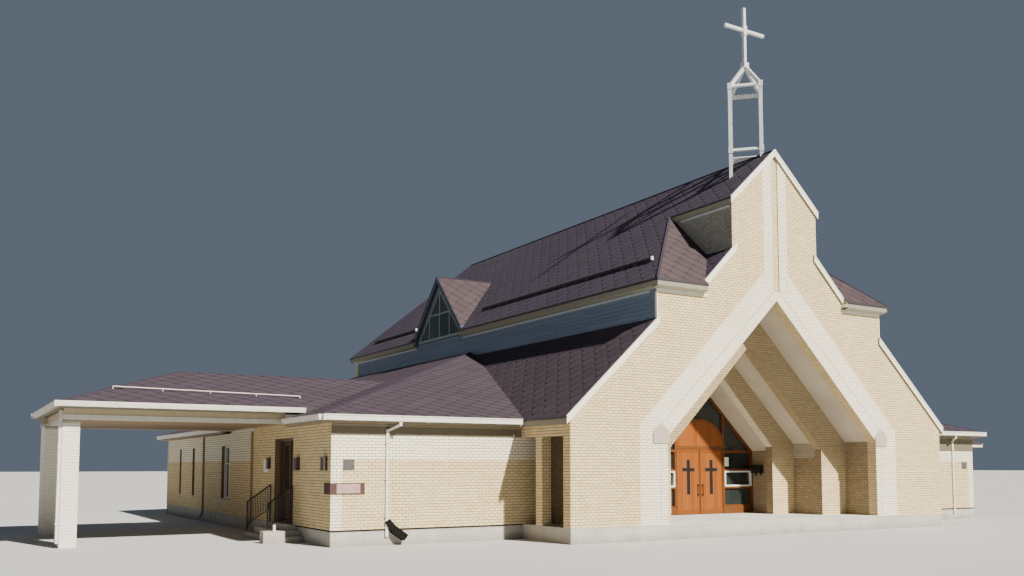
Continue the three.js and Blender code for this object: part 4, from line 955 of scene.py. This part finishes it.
def rake_board(form, start_x, end_x, height, depth=0.19, proud=0.02):
    """Sloping fascia from start_x to end_x over the roof's cut edge, with a thin lip along its top."""
    start_z, end_z = height(start_x), height(end_x)
    board = (0.01, -depth), (RAKE_Y - proud, RAKE_Y + 0.01)
    lip = (0.032, -0.02), (RAKE_Y - proud - 0.012, RAKE_Y + 0.03)
    for sign in SIDES.values():
        for (top, foot), y in (board, lip):
            form.along_y([(start_x, start_z + top), (end_x, end_z + top), (end_x, end_z + foot),
                          (start_x, start_z + foot)], y, sign)


def add_rakes():
    """Cream boards on the three steps of the gable, its upright edges and the ledge's coping."""
    form = Form()
    rake_board(form, 0.0, BAY_EAVE_X, lambda x: RIDGE_Z - ROOF_SLOPE * x)
    rake_board(form, 1.72, SHOULDER_X, lambda x: SHOULDER_TOP_Z - SHOULDER_SLOPE * (x - BAY_WALL_X))
    rake_board(form, 4.82, AISLE_EAVE_X, lambda x: AISLE_TOP_Z - AISLE_SLOPE * (x - CLERESTORY_X))
    for sign in SIDES.values():
        form.box((2.98, 4.89), (-0.035, 0.01), (7.215, 7.32), sign)
        form.box((3.02, 3.1), (-0.215, 0.0), (7.4, 7.5), sign)
        form.box((LEDGE_X, 4.885), (-0.02, 0.07), (AISLE_TOP_Z, 7.22), sign)
    form.piece("rake_boards", "cream_trim", "trim")


def beside_dormer(y0, y1):
    """The two runs of a main eave that leave the dormer's place open."""
    return (y0, DORMER_Y - DORMER_HALF - 0.02), (DORMER_Y + DORMER_HALF + 0.02, y1)


def add_eave_boards():
    """Boards under the eaves, a dark frieze under each wing's eave that is painted shadow, and thin dark
    metal drips over their fascias.
    """
    frieze, soffit, drip, bay, lath, cove, shaded = forms(7)
    aisle_foot_z = AISLE_TOP_Z - AISLE_SLOPE * (AISLE_EAVE_X - CLERESTORY_X)
    cove_z, low_z = 7.305, EAVE_Z - 0.2
    drip_z = (EAVE_Z - 0.055, EAVE_Z + 0.012)

    def cove_outline(wall, eave):
        """From the wall's head up and out to the eave's underside."""
        return [(wall, cove_z), (eave, low_z - 0.012), (eave, low_z + 0.01), (wall, cove_z + 0.03)]

    for side, sign in SIDES.items():
        for run in beside_dormer(WALL_T, REAR_Y):
            frieze.box((CLERESTORY_X, 4.878), run, (7.24, 7.3), sign)
        for run in beside_dormer(0.0, REAR_Y):
            cove.along_y(cove_outline(4.852, EAVE_X - 0.012), run, sign)
        cove.along_x(cove_outline(-0.002, EAVE_FRONT_Y + 0.012), (SHOULDER_X + 0.03, EAVE_X - 0.013), sign)
        for run in beside_dormer(EAVE_FRONT_Y, EAVE_REAR_Y):
            drip.box((EAVE_X - 0.01, EAVE_X + 0.022), run, drip_z, sign)
        drip.box((SHOULDER_X + 0.02, EAVE_X + 0.022), (EAVE_FRONT_Y - 0.022, EAVE_FRONT_Y + 0.01),
                 drip_z, sign)
        drip.box((BAY_EAVE_X - 0.01, BAY_EAVE_X + 0.02), (RAKE_Y, BAY_END_Y),
                 (BAY_EAVE_Z - 0.04, BAY_EAVE_Z + 0.012), sign)
        drip.box((AISLE_EAVE_X - 0.01, AISLE_EAVE_X + 0.02), (RAKE_Y, WING_EAVE_Y),
                 (aisle_foot_z - 0.04, aisle_foot_z + 0.012), sign)
        bay.box((BAY_WALL_X, 1.89), (0.08, BAY_END_Y - 0.5), (BAY_EAVE_Z - 0.29, BAY_EAVE_Z - 0.22), sign)
        wall_x, soffit_x = WING_X[side], WING_EAVE_X[side] - 0.01
        soffit.box((AISLE_EAVE_X - 0.1, soffit_x), (WING_EAVE_Y + 0.01, WING_FRONT_Y - 0.01), SOFFIT_Z, sign)
        runs = [(WING_FRONT_Y, REAR_Y)]
        if side == "left":
            runs = [(WING_FRONT_Y, CARPORT_EAVE_Y[0]), (CARPORT_EAVE_Y[1], REAR_Y)]
        for run in runs:
            soffit.box((wall_x + 0.01, soffit_x), run, SOFFIT_Z, sign)
        # Painted shadow: a dark board from the soffit down each wing's front, standing for the eave's shadow
        # on the bricks; on the left its foot lies where that shadow ends.
        frieze_x, board_y = (FACADE_HALF + 0.05, wall_x), WING_FRONT_Y - 0.008
        frieze_low = 2.97 if side == "left" else 2.73
        shaded.box(frieze_x, (WING_FRONT_Y - 0.03, board_y), (frieze_low, SOFFIT_Z[0]), sign)
        lath.box(frieze_x, (WING_FRONT_Y - 0.05, board_y), (3.2, 3.25), sign)
    drip.box((-EAVE_X - 0.022, EAVE_X + 0.022), (EAVE_REAR_Y - 0.01, EAVE_REAR_Y + 0.022),
             (EAVE_Z - 0.045, EAVE_Z + 0.012))
    frieze.piece("frieze_boards", "pale_siding_trim", "siding")
    soffit.piece("soffit_boards", "soffit_board", "soffit")
    drip.piece("drip_edges", "drip_edge", "shingles")
    bay.piece("bay_frieze", "pale_siding_trim", "siding")
    lath.piece("wing_laths", "olive_lath", "trim")
    cove.piece("eave_coves", "cove_board", "soffit")
    shaded.piece("wing_friezes_painted_shadow", "olive_board", "trim")


def gutter(form, start, end, outward):
    """Box gutter along an eave with a rolled lip, and a cover at every seam."""
    start, end, outward = Vector(start), Vector(end), Vector(outward)
    cover = (end - start).normalized() * 0.02

    def section(at, grow):
        far, low = at + outward * (GUTTER_WIDTH + grow), Vector((0, 0, -GUTTER_DEPTH - grow))
        return [at + low, far + low - outward * 0.025, far + Vector((0, 0, -0.03)), far, at]

    form.hull(section(start, 0), section(end, 0))
    count = max(1, round((end - start).length / GUTTER_SEAM))
    for i in range(count + 1):
        at = start + (end - start) * (i / count)
        form.hull(section(at - cover, 0.008), section(at + cover, 0.008))


def add_gutters():
    carport, flashing, seams, sides = forms(4)
    (y0, y1), z, end_x = CARPORT_EAVE_Y, CARPORT_EAVE_Z - 0.005, -13.64
    corner_x = CARPORT_EAVE_X - GUTTER_WIDTH
    gutter(carport, (corner_x, y0, z), (end_x, y0, z), (0, -1, 0))
    gutter(carport, (CARPORT_EAVE_X, y1, z), (CARPORT_EAVE_X, y0, z), (-1, 0, 0))
    gutter(carport, (end_x, y1, z), (corner_x, y1, z), (0, 1, 0))
    for y in ((y0 - 0.02, y0 + 0.01), (y1 - 0.01, y1 + 0.02)):
        flashing.along_y([(-14.2, 3.45), (-13.12, 3.83), (-13.7, 3.835), (-14.2, 3.83)], y)
    seam_count = 8
    for side, sign in SIDES.items():
        start, end = sign * (AISLE_EAVE_X + 0.12), sign * WING_EAVE_X[side]
        for i in range(seam_count + 1):
            x = start + (end - start) * i / seam_count
            seams.box((x - 0.02, x + 0.02), (2.07, WING_EAVE_Y), (3.322, 3.476))
        seams.box((8.2, WING_EAVE_X[side]), (2.065, 2.09), (3.455, 3.485), sign)
    z, rear_y = WING_EAVE_Z - 0.005, 24.0
    left_x, right_x = -WING_EAVE_X["left"], WING_EAVE_X["right"]
    gutter(sides, (right_x, rear_y, z), (right_x, WING_EAVE_Y, z), (1, 0, 0))
    gutter(sides, (left_x, WING_EAVE_Y, z), (left_x, y0 - 0.1, z), (-1, 0, 0))
    gutter(sides, (left_x, y1 + 0.1, z), (left_x, rear_y, z), (-1, 0, 0))
    carport.piece("carport_gutter", "white_gutter", "trim")
    flashing.piece("carport_flashings", "drip_edge", "shingles")
    seams.piece("gutter_seams", "white_gutter", "trim")
    sides.piece("side_gutters", "white_gutter", "trim")


def add_small_canopy():
    """Shingled end and white edge boards of the canopy on the right side."""
    end, edge = forms(2)
    end.along_y([(13.62, 3.335), (14.895, 3.055), (14.895, 2.99), (13.62, 2.99)], (2.888, 2.902))
    edge.box((13.62, 14.915), (2.875, 2.902), (2.9, 2.99))
    edge.box((14.895, 14.915), (2.875, 8.21), (2.9, 3.06))
    # The front end takes the lighter shingle copy, painted light.
    end.piece("canopy_end", "faded_shingles", "shingles")
    edge.piece("canopy_edge", "white_gutter", "trim")


def rounded_board(form, x, y, z, axis="x"):
    """Board with half-round ends, running along x or y."""
    radius, middle = (z[1] - z[0]) / 2, (z[0] + z[1]) / 2
    run, through = (x, y) if axis == "x" else (y, x)
    outline = []
    for end, start in ((max(run) - radius, -90), (min(run) + radius, 90)):
        for step in range(7):
            turn = math.radians(start + step * 30)
            outline.append((end + radius * math.cos(turn), middle + radius * math.sin(turn)))
    (form.along_y if axis == "x" else form.along_x)(outline, through)


def add_carport_trim():
    """White nosing and beige board around the carport's beams, its edge pipe and brown boarding below."""
    white, beige, boards = forms(3)
    (y0, y1), x0, x1 = CARPORT_EAVE_Y, -19.99, -13.87
    nosing_z, board_z = (3.35, 3.48), (3.47, 3.68)
    for y, inner in (((y0 + 0.29, y0 + 0.35), (y0 + 0.31, y0 + 0.35)),
                     ((y1 - 0.35, y1 - 0.29), (y1 - 0.35, y1 - 0.31))):
        rounded_board(white, (x0, x1), y, nosing_z)
        beige.box((x0 + 0.02, x1), inner, board_z)
    rounded_board(white, (-19.81, -19.75), (y0 + 0.32, y1 - 0.32), nosing_z, "y")
    beige.box((-19.79, -19.75), (y0 + 0.32, y1 - 0.32), board_z)
    white.box((-20.06, -19.978), (5.93, 6.01), (0.12, 3.6))
    for z in (0.6, 2.6):
        white.box((-20.075, -19.965), (5.915, 6.025), (z, z + 0.05))
    count, total = 31, 5.6
    for i in range(count):
        x = -19.5 + (total / count) * i
        boards.box((x, x + total / count - 0.008), (5.97, 12.13), (3.383, 3.399))
    white.piece("carport_nosing", "white_gutter", "trim", bevel=0.006)
    beige.piece("carport_fascia", "beige_board", "trim")
    boards.piece("carport_boarding", "soffit_board", "soffit")


def cross_outline(sign):
    """The cross let into a door leaf, as x and z."""
    x, half, arm, (low, top), (arm_low, arm_top) = 0.52 * sign, 0.075, 0.28, (1.14, 2.34), (1.935, 2.055)
    return [(x - half, low), (x + half, low), (x + half, arm_low), (x + arm, arm_low), (x + arm, arm_top),
            (x + half, arm_top), (x + half, top), (x - half, top), (x - half, arm_top), (x - arm, arm_top),
            (x - arm, arm_low), (x - half, arm_low)]


def add_door_fittings():
    """Dark crosses with slim frames, pulls and kick rails, each riding on its leaf."""
    rim, pull_y = 0.008, 3.665
    for side, sign in SIDES.items():
        outline = cross_outline(sign)
        inlay, frames, pulls, rails = forms(4)
        inlay.along_y(outline, (3.727, 3.7328))
        for (xa, za), (xb, zb) in zip(outline, outline[1:] + outline[:1]):
            x, z = (min(xa, xb) - rim, max(xa, xb) + rim), (min(za, zb) - rim, max(za, zb) + rim)
            frames.box(x, (3.716, 3.728), z)
        x = 0.1 * sign
        pulls.rod((x, pull_y, 1.08), (x, pull_y, 1.5), 0.013, 12)
        for z in (1.13, 1.45):
            pulls.rod((x, pull_y, z), (x, 3.722, z), 0.009)
            pulls.box((x - 0.022, x + 0.022), (3.714, 3.7215), (z - 0.03, z + 0.03))
        for z in ((0.462, 0.62), (2.6, 2.7)):
            rails.box((0.014, 1.04), (3.709, 3.7215), z, sign)
        for span in ((0.014, 0.05), (1.0, 1.04)):
            rails.box(span, (3.711, 3.7215), (0.6, 2.62), sign)
        body = f"{side}_leaf"
        inlay.piece(f"cross_inlay_{side}", "dark_inlay", "dark_frame", body)
        frames.piece(f"cross_frame_{side}", "dark_frame", "dark_frame", body)
        pulls.piece(f"door_pull_{side}", "black_metal", "black_metal", body)
        rails.piece(f"leaf_rails_{side}", "varnished_timber", "timber", body, bevel=0.003)


def add_entrance_fittings():
    """White-framed middle panes of the sidelights, glazing beads, a bare notice and the box by the doors."""
    white, beads, notice, box = forms(4)
    for sign in SIDES.values():
        x = (sign * 1.137, sign * 2.418)
        white.frame_facing_front(x, (3.688, 3.776), (1.402, 1.948), 0.05)
        for z in ((0.742, 1.338), (2.012, 2.598)):
            beads.frame_facing_front(x, (3.735, 3.778), z, 0.02)
    notice.box((1.14, 1.36), (3.728, 3.734), (2.11, 2.43))
    box.box((2.3, 2.492), (3.17, 3.6), (1.86, 2.1))
    box.along_y([(2.28, 2.1), (2.492, 2.1), (2.492, 2.16), (2.42, 2.16)], (3.15, 3.62))
    for y in (3.25, 3.5):
        box.box((2.44, 2.492), (y, y + 0.03), (1.78, 1.86))
    white.piece("sidelight_frames", "white_frame", "trim", bevel=0.004)
    # The beads take the darker timber copy, painted shade.
    beads.piece("glazing_beads", "frame_timber", "timber")
    notice.piece("bare_notice", "white_frame", "trim")
    box.piece("box_by_the_doors", "black_metal", "black_metal", bevel=0.004)


def add_side_openings():
    """Frames, sills and centre bars of the side windows, and the joinery of the two side doors."""
    frames, sills, joinery, panes, pulls = forms(5)
    for side, sign in SIDES.items():
        wall_x = WING_X[side]

        def inset(outer, inner):
            return wall_x - outer, wall_x - inner

        for y0, y1 in SIDE_WINDOW_Y:
            frames.frame_facing_side(inset(0.2, 0.1), (y0 + 0.002, y1 - 0.002), (0.972, 2.848), 0.05, sign)
            if y1 - y0 > 1:
                middle = (y0 + y1) / 2
                frames.box(inset(0.2, 0.12), (middle - 0.025, middle + 0.025), (1.02, 2.8), sign)
                frames.box(inset(0.2, 0.13), (y0 + 0.05, y1 - 0.05), (2.2, 2.24), sign)
            sills.box(inset(0.1, -0.04), (y0 - 0.04, y1 + 0.04), (0.9, 0.968), sign)
        joinery.frame_facing_side(inset(0.25, 0.14), (5.652, 7.458), (0.44, 2.948), 0.07, sign)
        joinery.box(inset(0.25, 0.2), (6.545, 6.565), (0.46, 2.88), sign)
        for y0, y1 in ((5.74, 6.53), (6.58, 7.37)):
            for z in ((0.55, 1.25), (1.4, 2.8)):
                joinery.frame_facing_side(inset(0.25, 0.225), (y0 + 0.1, y1 - 0.1), z, 0.04, sign)
            panes.box(inset(0.25, 0.238), (y0 + 0.13, y1 - 0.13), (1.43, 2.77), sign)
            joinery.box(inset(0.25, 0.232), (y0 + 0.2, y1 - 0.2), (0.65, 1.15), sign)
        pull_x, door_x = sign * (wall_x - 0.19), sign * (wall_x - 0.25)
        for y in (6.47, 6.64):
            pulls.rod((pull_x, y, 1.2), (pull_x, y, 1.45), 0.012)
            for z in (1.22, 1.43):
                pulls.rod((pull_x, y, z), (door_x, y, z), 0.009)
    frames.piece("side_window_frames", "white_frame", "trim", bevel=0.004)
    sills.piece("side_window_sills", "limestone", "limestone", bevel=0.008)
    joinery.piece("side_door_joinery", "brown_door", "brown_door", bevel=0.003)
    panes.piece("side_door_panes", "window_glass", "glass")
    pulls.piece("side_door_pulls", "black_metal", "black_metal")


def add_spouts():
    """Straps and rubber boot of the front downspouts, and the side downpipes."""
    white, brown, black = forms(3)
    for side, sign in SIDES.items():
        wall_x = WING_X[side]
        for z in (0.75, 1.75, 2.75):
            white.box((SPOUT_X - 0.055, SPOUT_X + 0.055), (2.422, 2.494), (z, z + 0.035), sign)
        for y in DOWNPIPE_Y:
            brown.box((wall_x + 0.012, wall_x + 0.075), (y - 0.04, y + 0.04), (0.3, 3.26), sign)
            for z in (0.9, 2.0, 3.0):
                brown.box((wall_x + 0.008, wall_x + 0.085), (y - 0.05, y + 0.05), (z, z + 0.035), sign)
            bend, shoe = (sign * (wall_x + 0.045), y, 0.33), (sign * (wall_x + 0.16), y, 0.12)
            brown.bar(bend, shoe, 0.08, 0.065, up=(0, 1, 0))
    black.hull([(-12.33, 2.4, 0.62), (-12.2, 2.4, 0.7), (-12.2, 2.49, 0.7), (-12.33, 2.49, 0.62)],
               [(-12.16, 2.34, 0.36), (-12.03, 2.34, 0.5), (-12.03, 2.48, 0.5), (-12.16, 2.48, 0.36)])
    black.hull([(-12.17, 2.34, 0.34), (-12.03, 2.34, 0.51), (-12.03, 2.48, 0.51), (-12.17, 2.48, 0.34)],
               [(-11.86, 2.2, 0.12), (-11.74, 2.2, 0.27), (-11.74, 2.44, 0.27), (-11.86, 2.44, 0.12)])
    white.piece("spout_straps", "white_gutter", "trim")
    brown.piece("side_downpipes", "soffit_board", "soffit")
    black.piece("spout_boot", "black_rubber", "black_metal", bevel=0.006)


def add_wall_fittings():
    """The lights' caps and louvres, railing bars, kerb stub, the dark strip below the bricks,
    bare plates and the date stone's panel."""
    lights, bars, stub, foot, bare, stone, plate = forms(7)
    cap_x, cap_half_z = (-13.985, -13.852), 0.012
    for y in (2.76, 5.04):
        for z in (2.35, 2.02):
            lights.box(cap_x, (y - 0.015, y + 0.275), (z - cap_half_z, z + cap_half_z))
        for i in range(5):
            lights.box((-13.972, -13.958), (y + 0.02, y + 0.24), (2.06 + i * 0.055, 2.085 + i * 0.055))
    lights.box((-13.95, -13.858), (7.86, 8.07), (2.04, 2.37))
    lights.box((-13.97, -13.858), (7.845, 8.085), (2.37, 2.39))
    count, half = 7, 0.008
    for y in (5.4, 7.52):
        for i in range(count):
            share = (i + 0.5) / count
            x, low, top = -13.95 - 0.71 * share, 0.84 - 0.46 * share, 1.56 - 0.5 * share
            bars.box((x - half, x + half), (y - half, y + half), (low, top))
    stub.rod((-14.66, 4.74, 0.32), (-14.66, 4.74, 0.5), 0.04, 16)
    strip_z = (0.404, 0.432)
    for side, sign in SIDES.items():
        wall_x = WING_X[side]
        foot.box((FACADE_HALF + 0.02, wall_x + 0.02), (2.476, WING_FRONT_Y), strip_z, sign)
        foot.box((wall_x, wall_x + 0.02), (WING_FRONT_Y, 5.3), strip_z, sign)
    bare.box((-13.872, -13.857), (8.13, 8.6), (1.95, 2.34))
    stone.box((-13.7, -13.04), (2.458, 2.4692), (1.405, 1.655))
    plate.box((12.87, 13.18), (2.47, 2.492), (2.01, 2.27))
    lights.piece("light_housings", "brown_metal", "black_metal")
    bars.piece("railing_bars", "black_metal", "black_metal")
    stub.piece("kerb_stub", "white_gutter", "trim")
    foot.piece("foot_strips", "black_rubber", "black_metal")
    bare.piece("bare_plate", "white_frame", "trim", bevel=0.003)
    stone.piece("date_stone_panel", "pink_stone", "red_stone", bevel=0.003)
    plate.piece("small_plate", "slate", "brown_door", bevel=0.003)


def dormer_rake(side_y, depth):
    """Outline of a sloping board of the given depth, from a dormer's side up to its ridge."""
    return [(side_y, DORMER_SIDE_Z + 0.01), (DORMER_Y, DORMER_TOP_Z + 0.01),
            (DORMER_Y, DORMER_TOP_Z - depth), (side_y, DORMER_SIDE_Z - depth)]


def add_dormer_fittings():
    """Dark panes set against the dormers' frames, raked boards over the glazing, sills and linings."""
    panes, boards, drips, sills, linings = forms(5)
    (low, top), inset = GLAZING_Z, 0.03
    for sign in SIDES.values():
        panes.along_x([(DORMER_Y - GLAZING_HALF + 2 * inset, low + inset),
                       (DORMER_Y + GLAZING_HALF - 2 * inset, low + inset), (DORMER_Y, top - 2 * inset)],
                      (4.806, 4.811), sign)
        sill_y = (DORMER_Y - GLAZING_HALF, DORMER_Y + GLAZING_HALF)
        sills.box((4.835, 4.905), sill_y, (low - 0.06, low + 0.002), sign)
        for turn in (-1, 1):
            side_y = DORMER_Y + turn * DORMER_HALF
            boards.along_x(dormer_rake(side_y, 0.24), (4.94, 4.966), sign)
            boards.box((4.84, 4.966), (side_y, side_y - turn * 0.14), (7.33, DORMER_SIDE_Z - 0.1), sign)
            drips.along_x(dormer_rake(side_y, 0.03), (4.93, 4.982), sign)
            linings.along_x([(DORMER_Y + turn * (GLAZING_HALF + 0.05), low - 0.01), (DORMER_Y, top + 0.055),
                             (DORMER_Y, top + 0.004), (DORMER_Y + turn * (GLAZING_HALF + 0.002), low - 0.01)],
                            (4.835, 4.868), sign)
    panes.piece("dormer_panes", "window_glass", "glass")
    boards.piece("dormer_boards", "dark_boards", "siding")
    drips.piece("dormer_drips", "drip_edge", "shingles")
    sills.piece("dormer_sills", "green_frame", "dark_frame")
    linings.piece("dormer_linings", "green_frame", "dark_frame")


def add_steeple_fittings():
    """Collars where the steeple's rings meet its legs, and a welded box at the cross."""
    form, spread, reach = Form(), 0.7, 0.1
    for dx, dy in ((1, 0), (0, 1), (-1, 0), (0, -1)):
        x, y = spread * dx, 1.2 + spread * dy
        ring = [(x + reach, y), (x, y + reach), (x - reach, y), (x, y - reach)]
        for z in (12.48, 14.65):
            form.hull([(a, b, z - 0.1) for a, b in ring], [(a, b, z + 0.1) for a, b in ring])
    form.box((-0.075, 0.075), (1.125, 1.275), (16.55, 16.89))
    form.piece("steeple_collars", "galvanised", "galvanised", bevel=0.004)


def add_caps():
    """Folded metal caps over the hips and ridges."""
    form, lift = Form(), Vector((0, 0, 0.012))

    def cap(start, end):
        form.bar(Vector(start) + lift, Vector(end) + lift, 0.07, 0.024)

    cap((0, RAKE_Y, RIDGE_Z), (0, RIDGE_REAR_Y, RIDGE_Z))
    for side, sign in SIDES.items():
        cap((sign * EAVE_X, EAVE_FRONT_Y, EAVE_Z), (sign * BAY_EAVE_X, BAY_END_Y, BAY_EAVE_Z))
        cap((sign * EAVE_X, EAVE_REAR_Y, EAVE_Z), (0, RIDGE_REAR_Y, RIDGE_Z))
        eave_x = WING_EAVE_X[side]
        run = eave_x - CLERESTORY_X
        cap((sign * eave_x, WING_EAVE_Y, WING_EAVE_Z),
            (sign * CLERESTORY_X, WING_EAVE_Y + run, WING_EAVE_Z + run / LOW_ROOF_RUN))
        cap((sign * 4.95, DORMER_Y, DORMER_TOP_Z), (sign * 2.31, DORMER_Y, DORMER_TOP_Z))
    half = (CARPORT_EAVE_Y[1] - CARPORT_EAVE_Y[0]) / 2
    peak = Vector((CARPORT_EAVE_X + half, CARPORT_EAVE_Y[0] + half, CARPORT_EAVE_Z + half / LOW_ROOF_RUN))
    for y in CARPORT_EAVE_Y:
        cap((CARPORT_EAVE_X, y, CARPORT_EAVE_Z), peak)
    cap(peak, (-9.6, peak.y, peak.z))
    form.piece("ridge_caps", "shingles", "shingles")


def add_snow_guards():
    """Dark guards above the main eaves with pale end plates, and a white bar over the carport."""
    guards, white = forms(2)
    runs = (((4.18, 11.8, 8.35), (4.121, 1.16, 8.405)), ((4.356, 22.52, 8.186), (4.316, 17.79, 8.223)))
    lift = Vector((0, 0, 0.075))
    for sign in SIDES.values():
        for run in runs:
            a, b = (Vector((sign * x, y, z)) for x, y, z in run)
            guards.bar(a + lift, b + lift, 0.045, 0.085)
            for i in range(1, 10):
                at = a + (b - a) * i / 10
                guards.box((at.x - 0.045, at.x + 0.045), (at.y - 0.02, at.y + 0.02),
                           (at.z - 0.06, at.z + 0.11))
            white.box((b.x - 0.04, b.x + 0.04), (b.y - 0.06, b.y), (b.z + 0.03, b.z + 0.15))
    guards.piece("snow_guards", "black_metal", "black_metal")
    a, b = Vector((-18.66, 6.73, 4.34)), Vector((-13.43, 6.42, 4.23))
    white.rod(a, b, 0.014)
    for i in range(5):
        at = a + (b - a) * i / 4
        white.box((at.x - 0.009, at.x + 0.009), (at.y - 0.009, at.y + 0.009), (at.z - 0.13, at.z))
    white.piece("carport_snow_bar", "white_gutter", "trim")


# Finishes on the model's own nodes

NODE_FINISHES = {
    "concrete": "nave_base left_wing_base right_wing_base entrance_steps",
    "floor_concrete": "portal_floor",
    "tan_mortar": "facade_wall_left facade_wall_right portal_walls_left portal_walls_right "
                  "left_corner_recess right_corner_recess left_wing_front_wall right_wing_front_wall "
                  "left_wing_side_wall right_wing_side_wall rear_wall",
    "pale_mortar": "portal_band_left portal_band_right gable_centre_strip",
    "pier_mortar": "carport_pier_front carport_pier_rear",
    "limestone": "label_stone_left label_stone_right",
    "rendered_ceiling": "portal_ceiling_front portal_ceiling_middle portal_ceiling_rear",
    # The entrance frame takes the darker timber copy, painted shade.
    "frame_timber": "entrance_frame",
    "varnished_timber": "arched_panel door_leaf_left door_leaf_right",
    "brown_door": "left_side_door right_side_door",
    "window_glass": "entrance_glass left_wing_glass right_wing_glass",
    "siding_trim": "clerestory_wall_left clerestory_wall_right",
    "dormer_edge": "dormer_left dormer_right",
    "green_frame": "dormer_window_left dormer_window_right",
    "roof_edge": "main_roof_left main_roof_right lower_roof_left lower_roof_right carport_roof right_canopy",
    "beige_board": "carport_beams",
    "soffit": "carport_ceiling",
    "white_gutter": "left_wing_gutter right_wing_gutter",
    "black_metal": "steps_railing_front steps_railing_rear",
    "brown_metal": "wall_light_front wall_light_rear",
    "galvanised": "steeple_frame steeple_cross",
    "red_stone": "date_stone",
    "slate": "slate_plaque",
}


def finish_nodes():
    for finish, names in NODE_FINISHES.items():
        for name in names.split():
            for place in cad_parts[name].material_slots:
                place.material = FINISHES[finish]


# Floor, light and camera

def add_floor():
    mesh = bpy.data.meshes.new("studio_floor")
    reach, z = 400, -0.002
    mesh.from_pydata([(-reach, -reach, z), (reach, -reach, z), (reach, reach, z), (-reach, reach, z)],
                     [], [(0, 1, 2, 3)])
    mesh.materials.append(FINISHES["studio_floor"])
    floor = placed("studio_floor", mesh)


def add_light():
    """Sun high to the right of the facade, and a weak blue sky."""
    key = bpy.data.lights.new("key", "SUN")
    key.energy = 12.5
    key.angle = math.radians(1.5)
    key.color = (1.0, 0.95, 0.86)
    heading, height = math.radians(14.6), math.radians(40.5)
    level = math.cos(height)
    towards_sun = Vector((math.sin(heading) * level, -math.cos(heading) * level, math.sin(height)))
    placed("key", key).rotation_euler = towards_sun.to_track_quat("Z", "Y").to_euler()
    world = bpy.data.worlds.new("studio")
    bpy.context.scene.world = world
    world.use_nodes = True
    background = world.node_tree.nodes["Background"]
    background.inputs["Color"].default_value = (0.62, 0.77, 1.0, 1)
    background.inputs["Strength"].default_value = 0.18


def add_camera():
    """Camera at the photograph's place: 33.6 mm lens, turned 30.7 degrees to the right, pitched up 4.3."""
    camera = bpy.data.cameras.new("camera")
    camera.lens = 33.61
    camera.sensor_width = 36
    camera.shift_y = 0.1043
    camera.clip_end = 1000
    made = placed("camera", camera)
    made.location = (-22.63, -25.36, 2.12)
    made.rotation_euler = (math.radians(90 + 4.27), math.radians(0.04), math.radians(-30.70))
    bpy.context.scene.camera = made


for step in (add_camera, add_light, add_floor, finish_nodes,
             lay_facade, lay_portal, lay_wings, lay_shingles, lay_siding, lay_timber,
             add_rakes, add_eave_boards, add_gutters, add_carport_trim, add_small_canopy, add_door_fittings,
             add_entrance_fittings, add_side_openings, add_spouts, add_wall_fittings, add_dormer_fittings,
             add_steeple_fittings, add_caps, add_snow_guards):
    step()
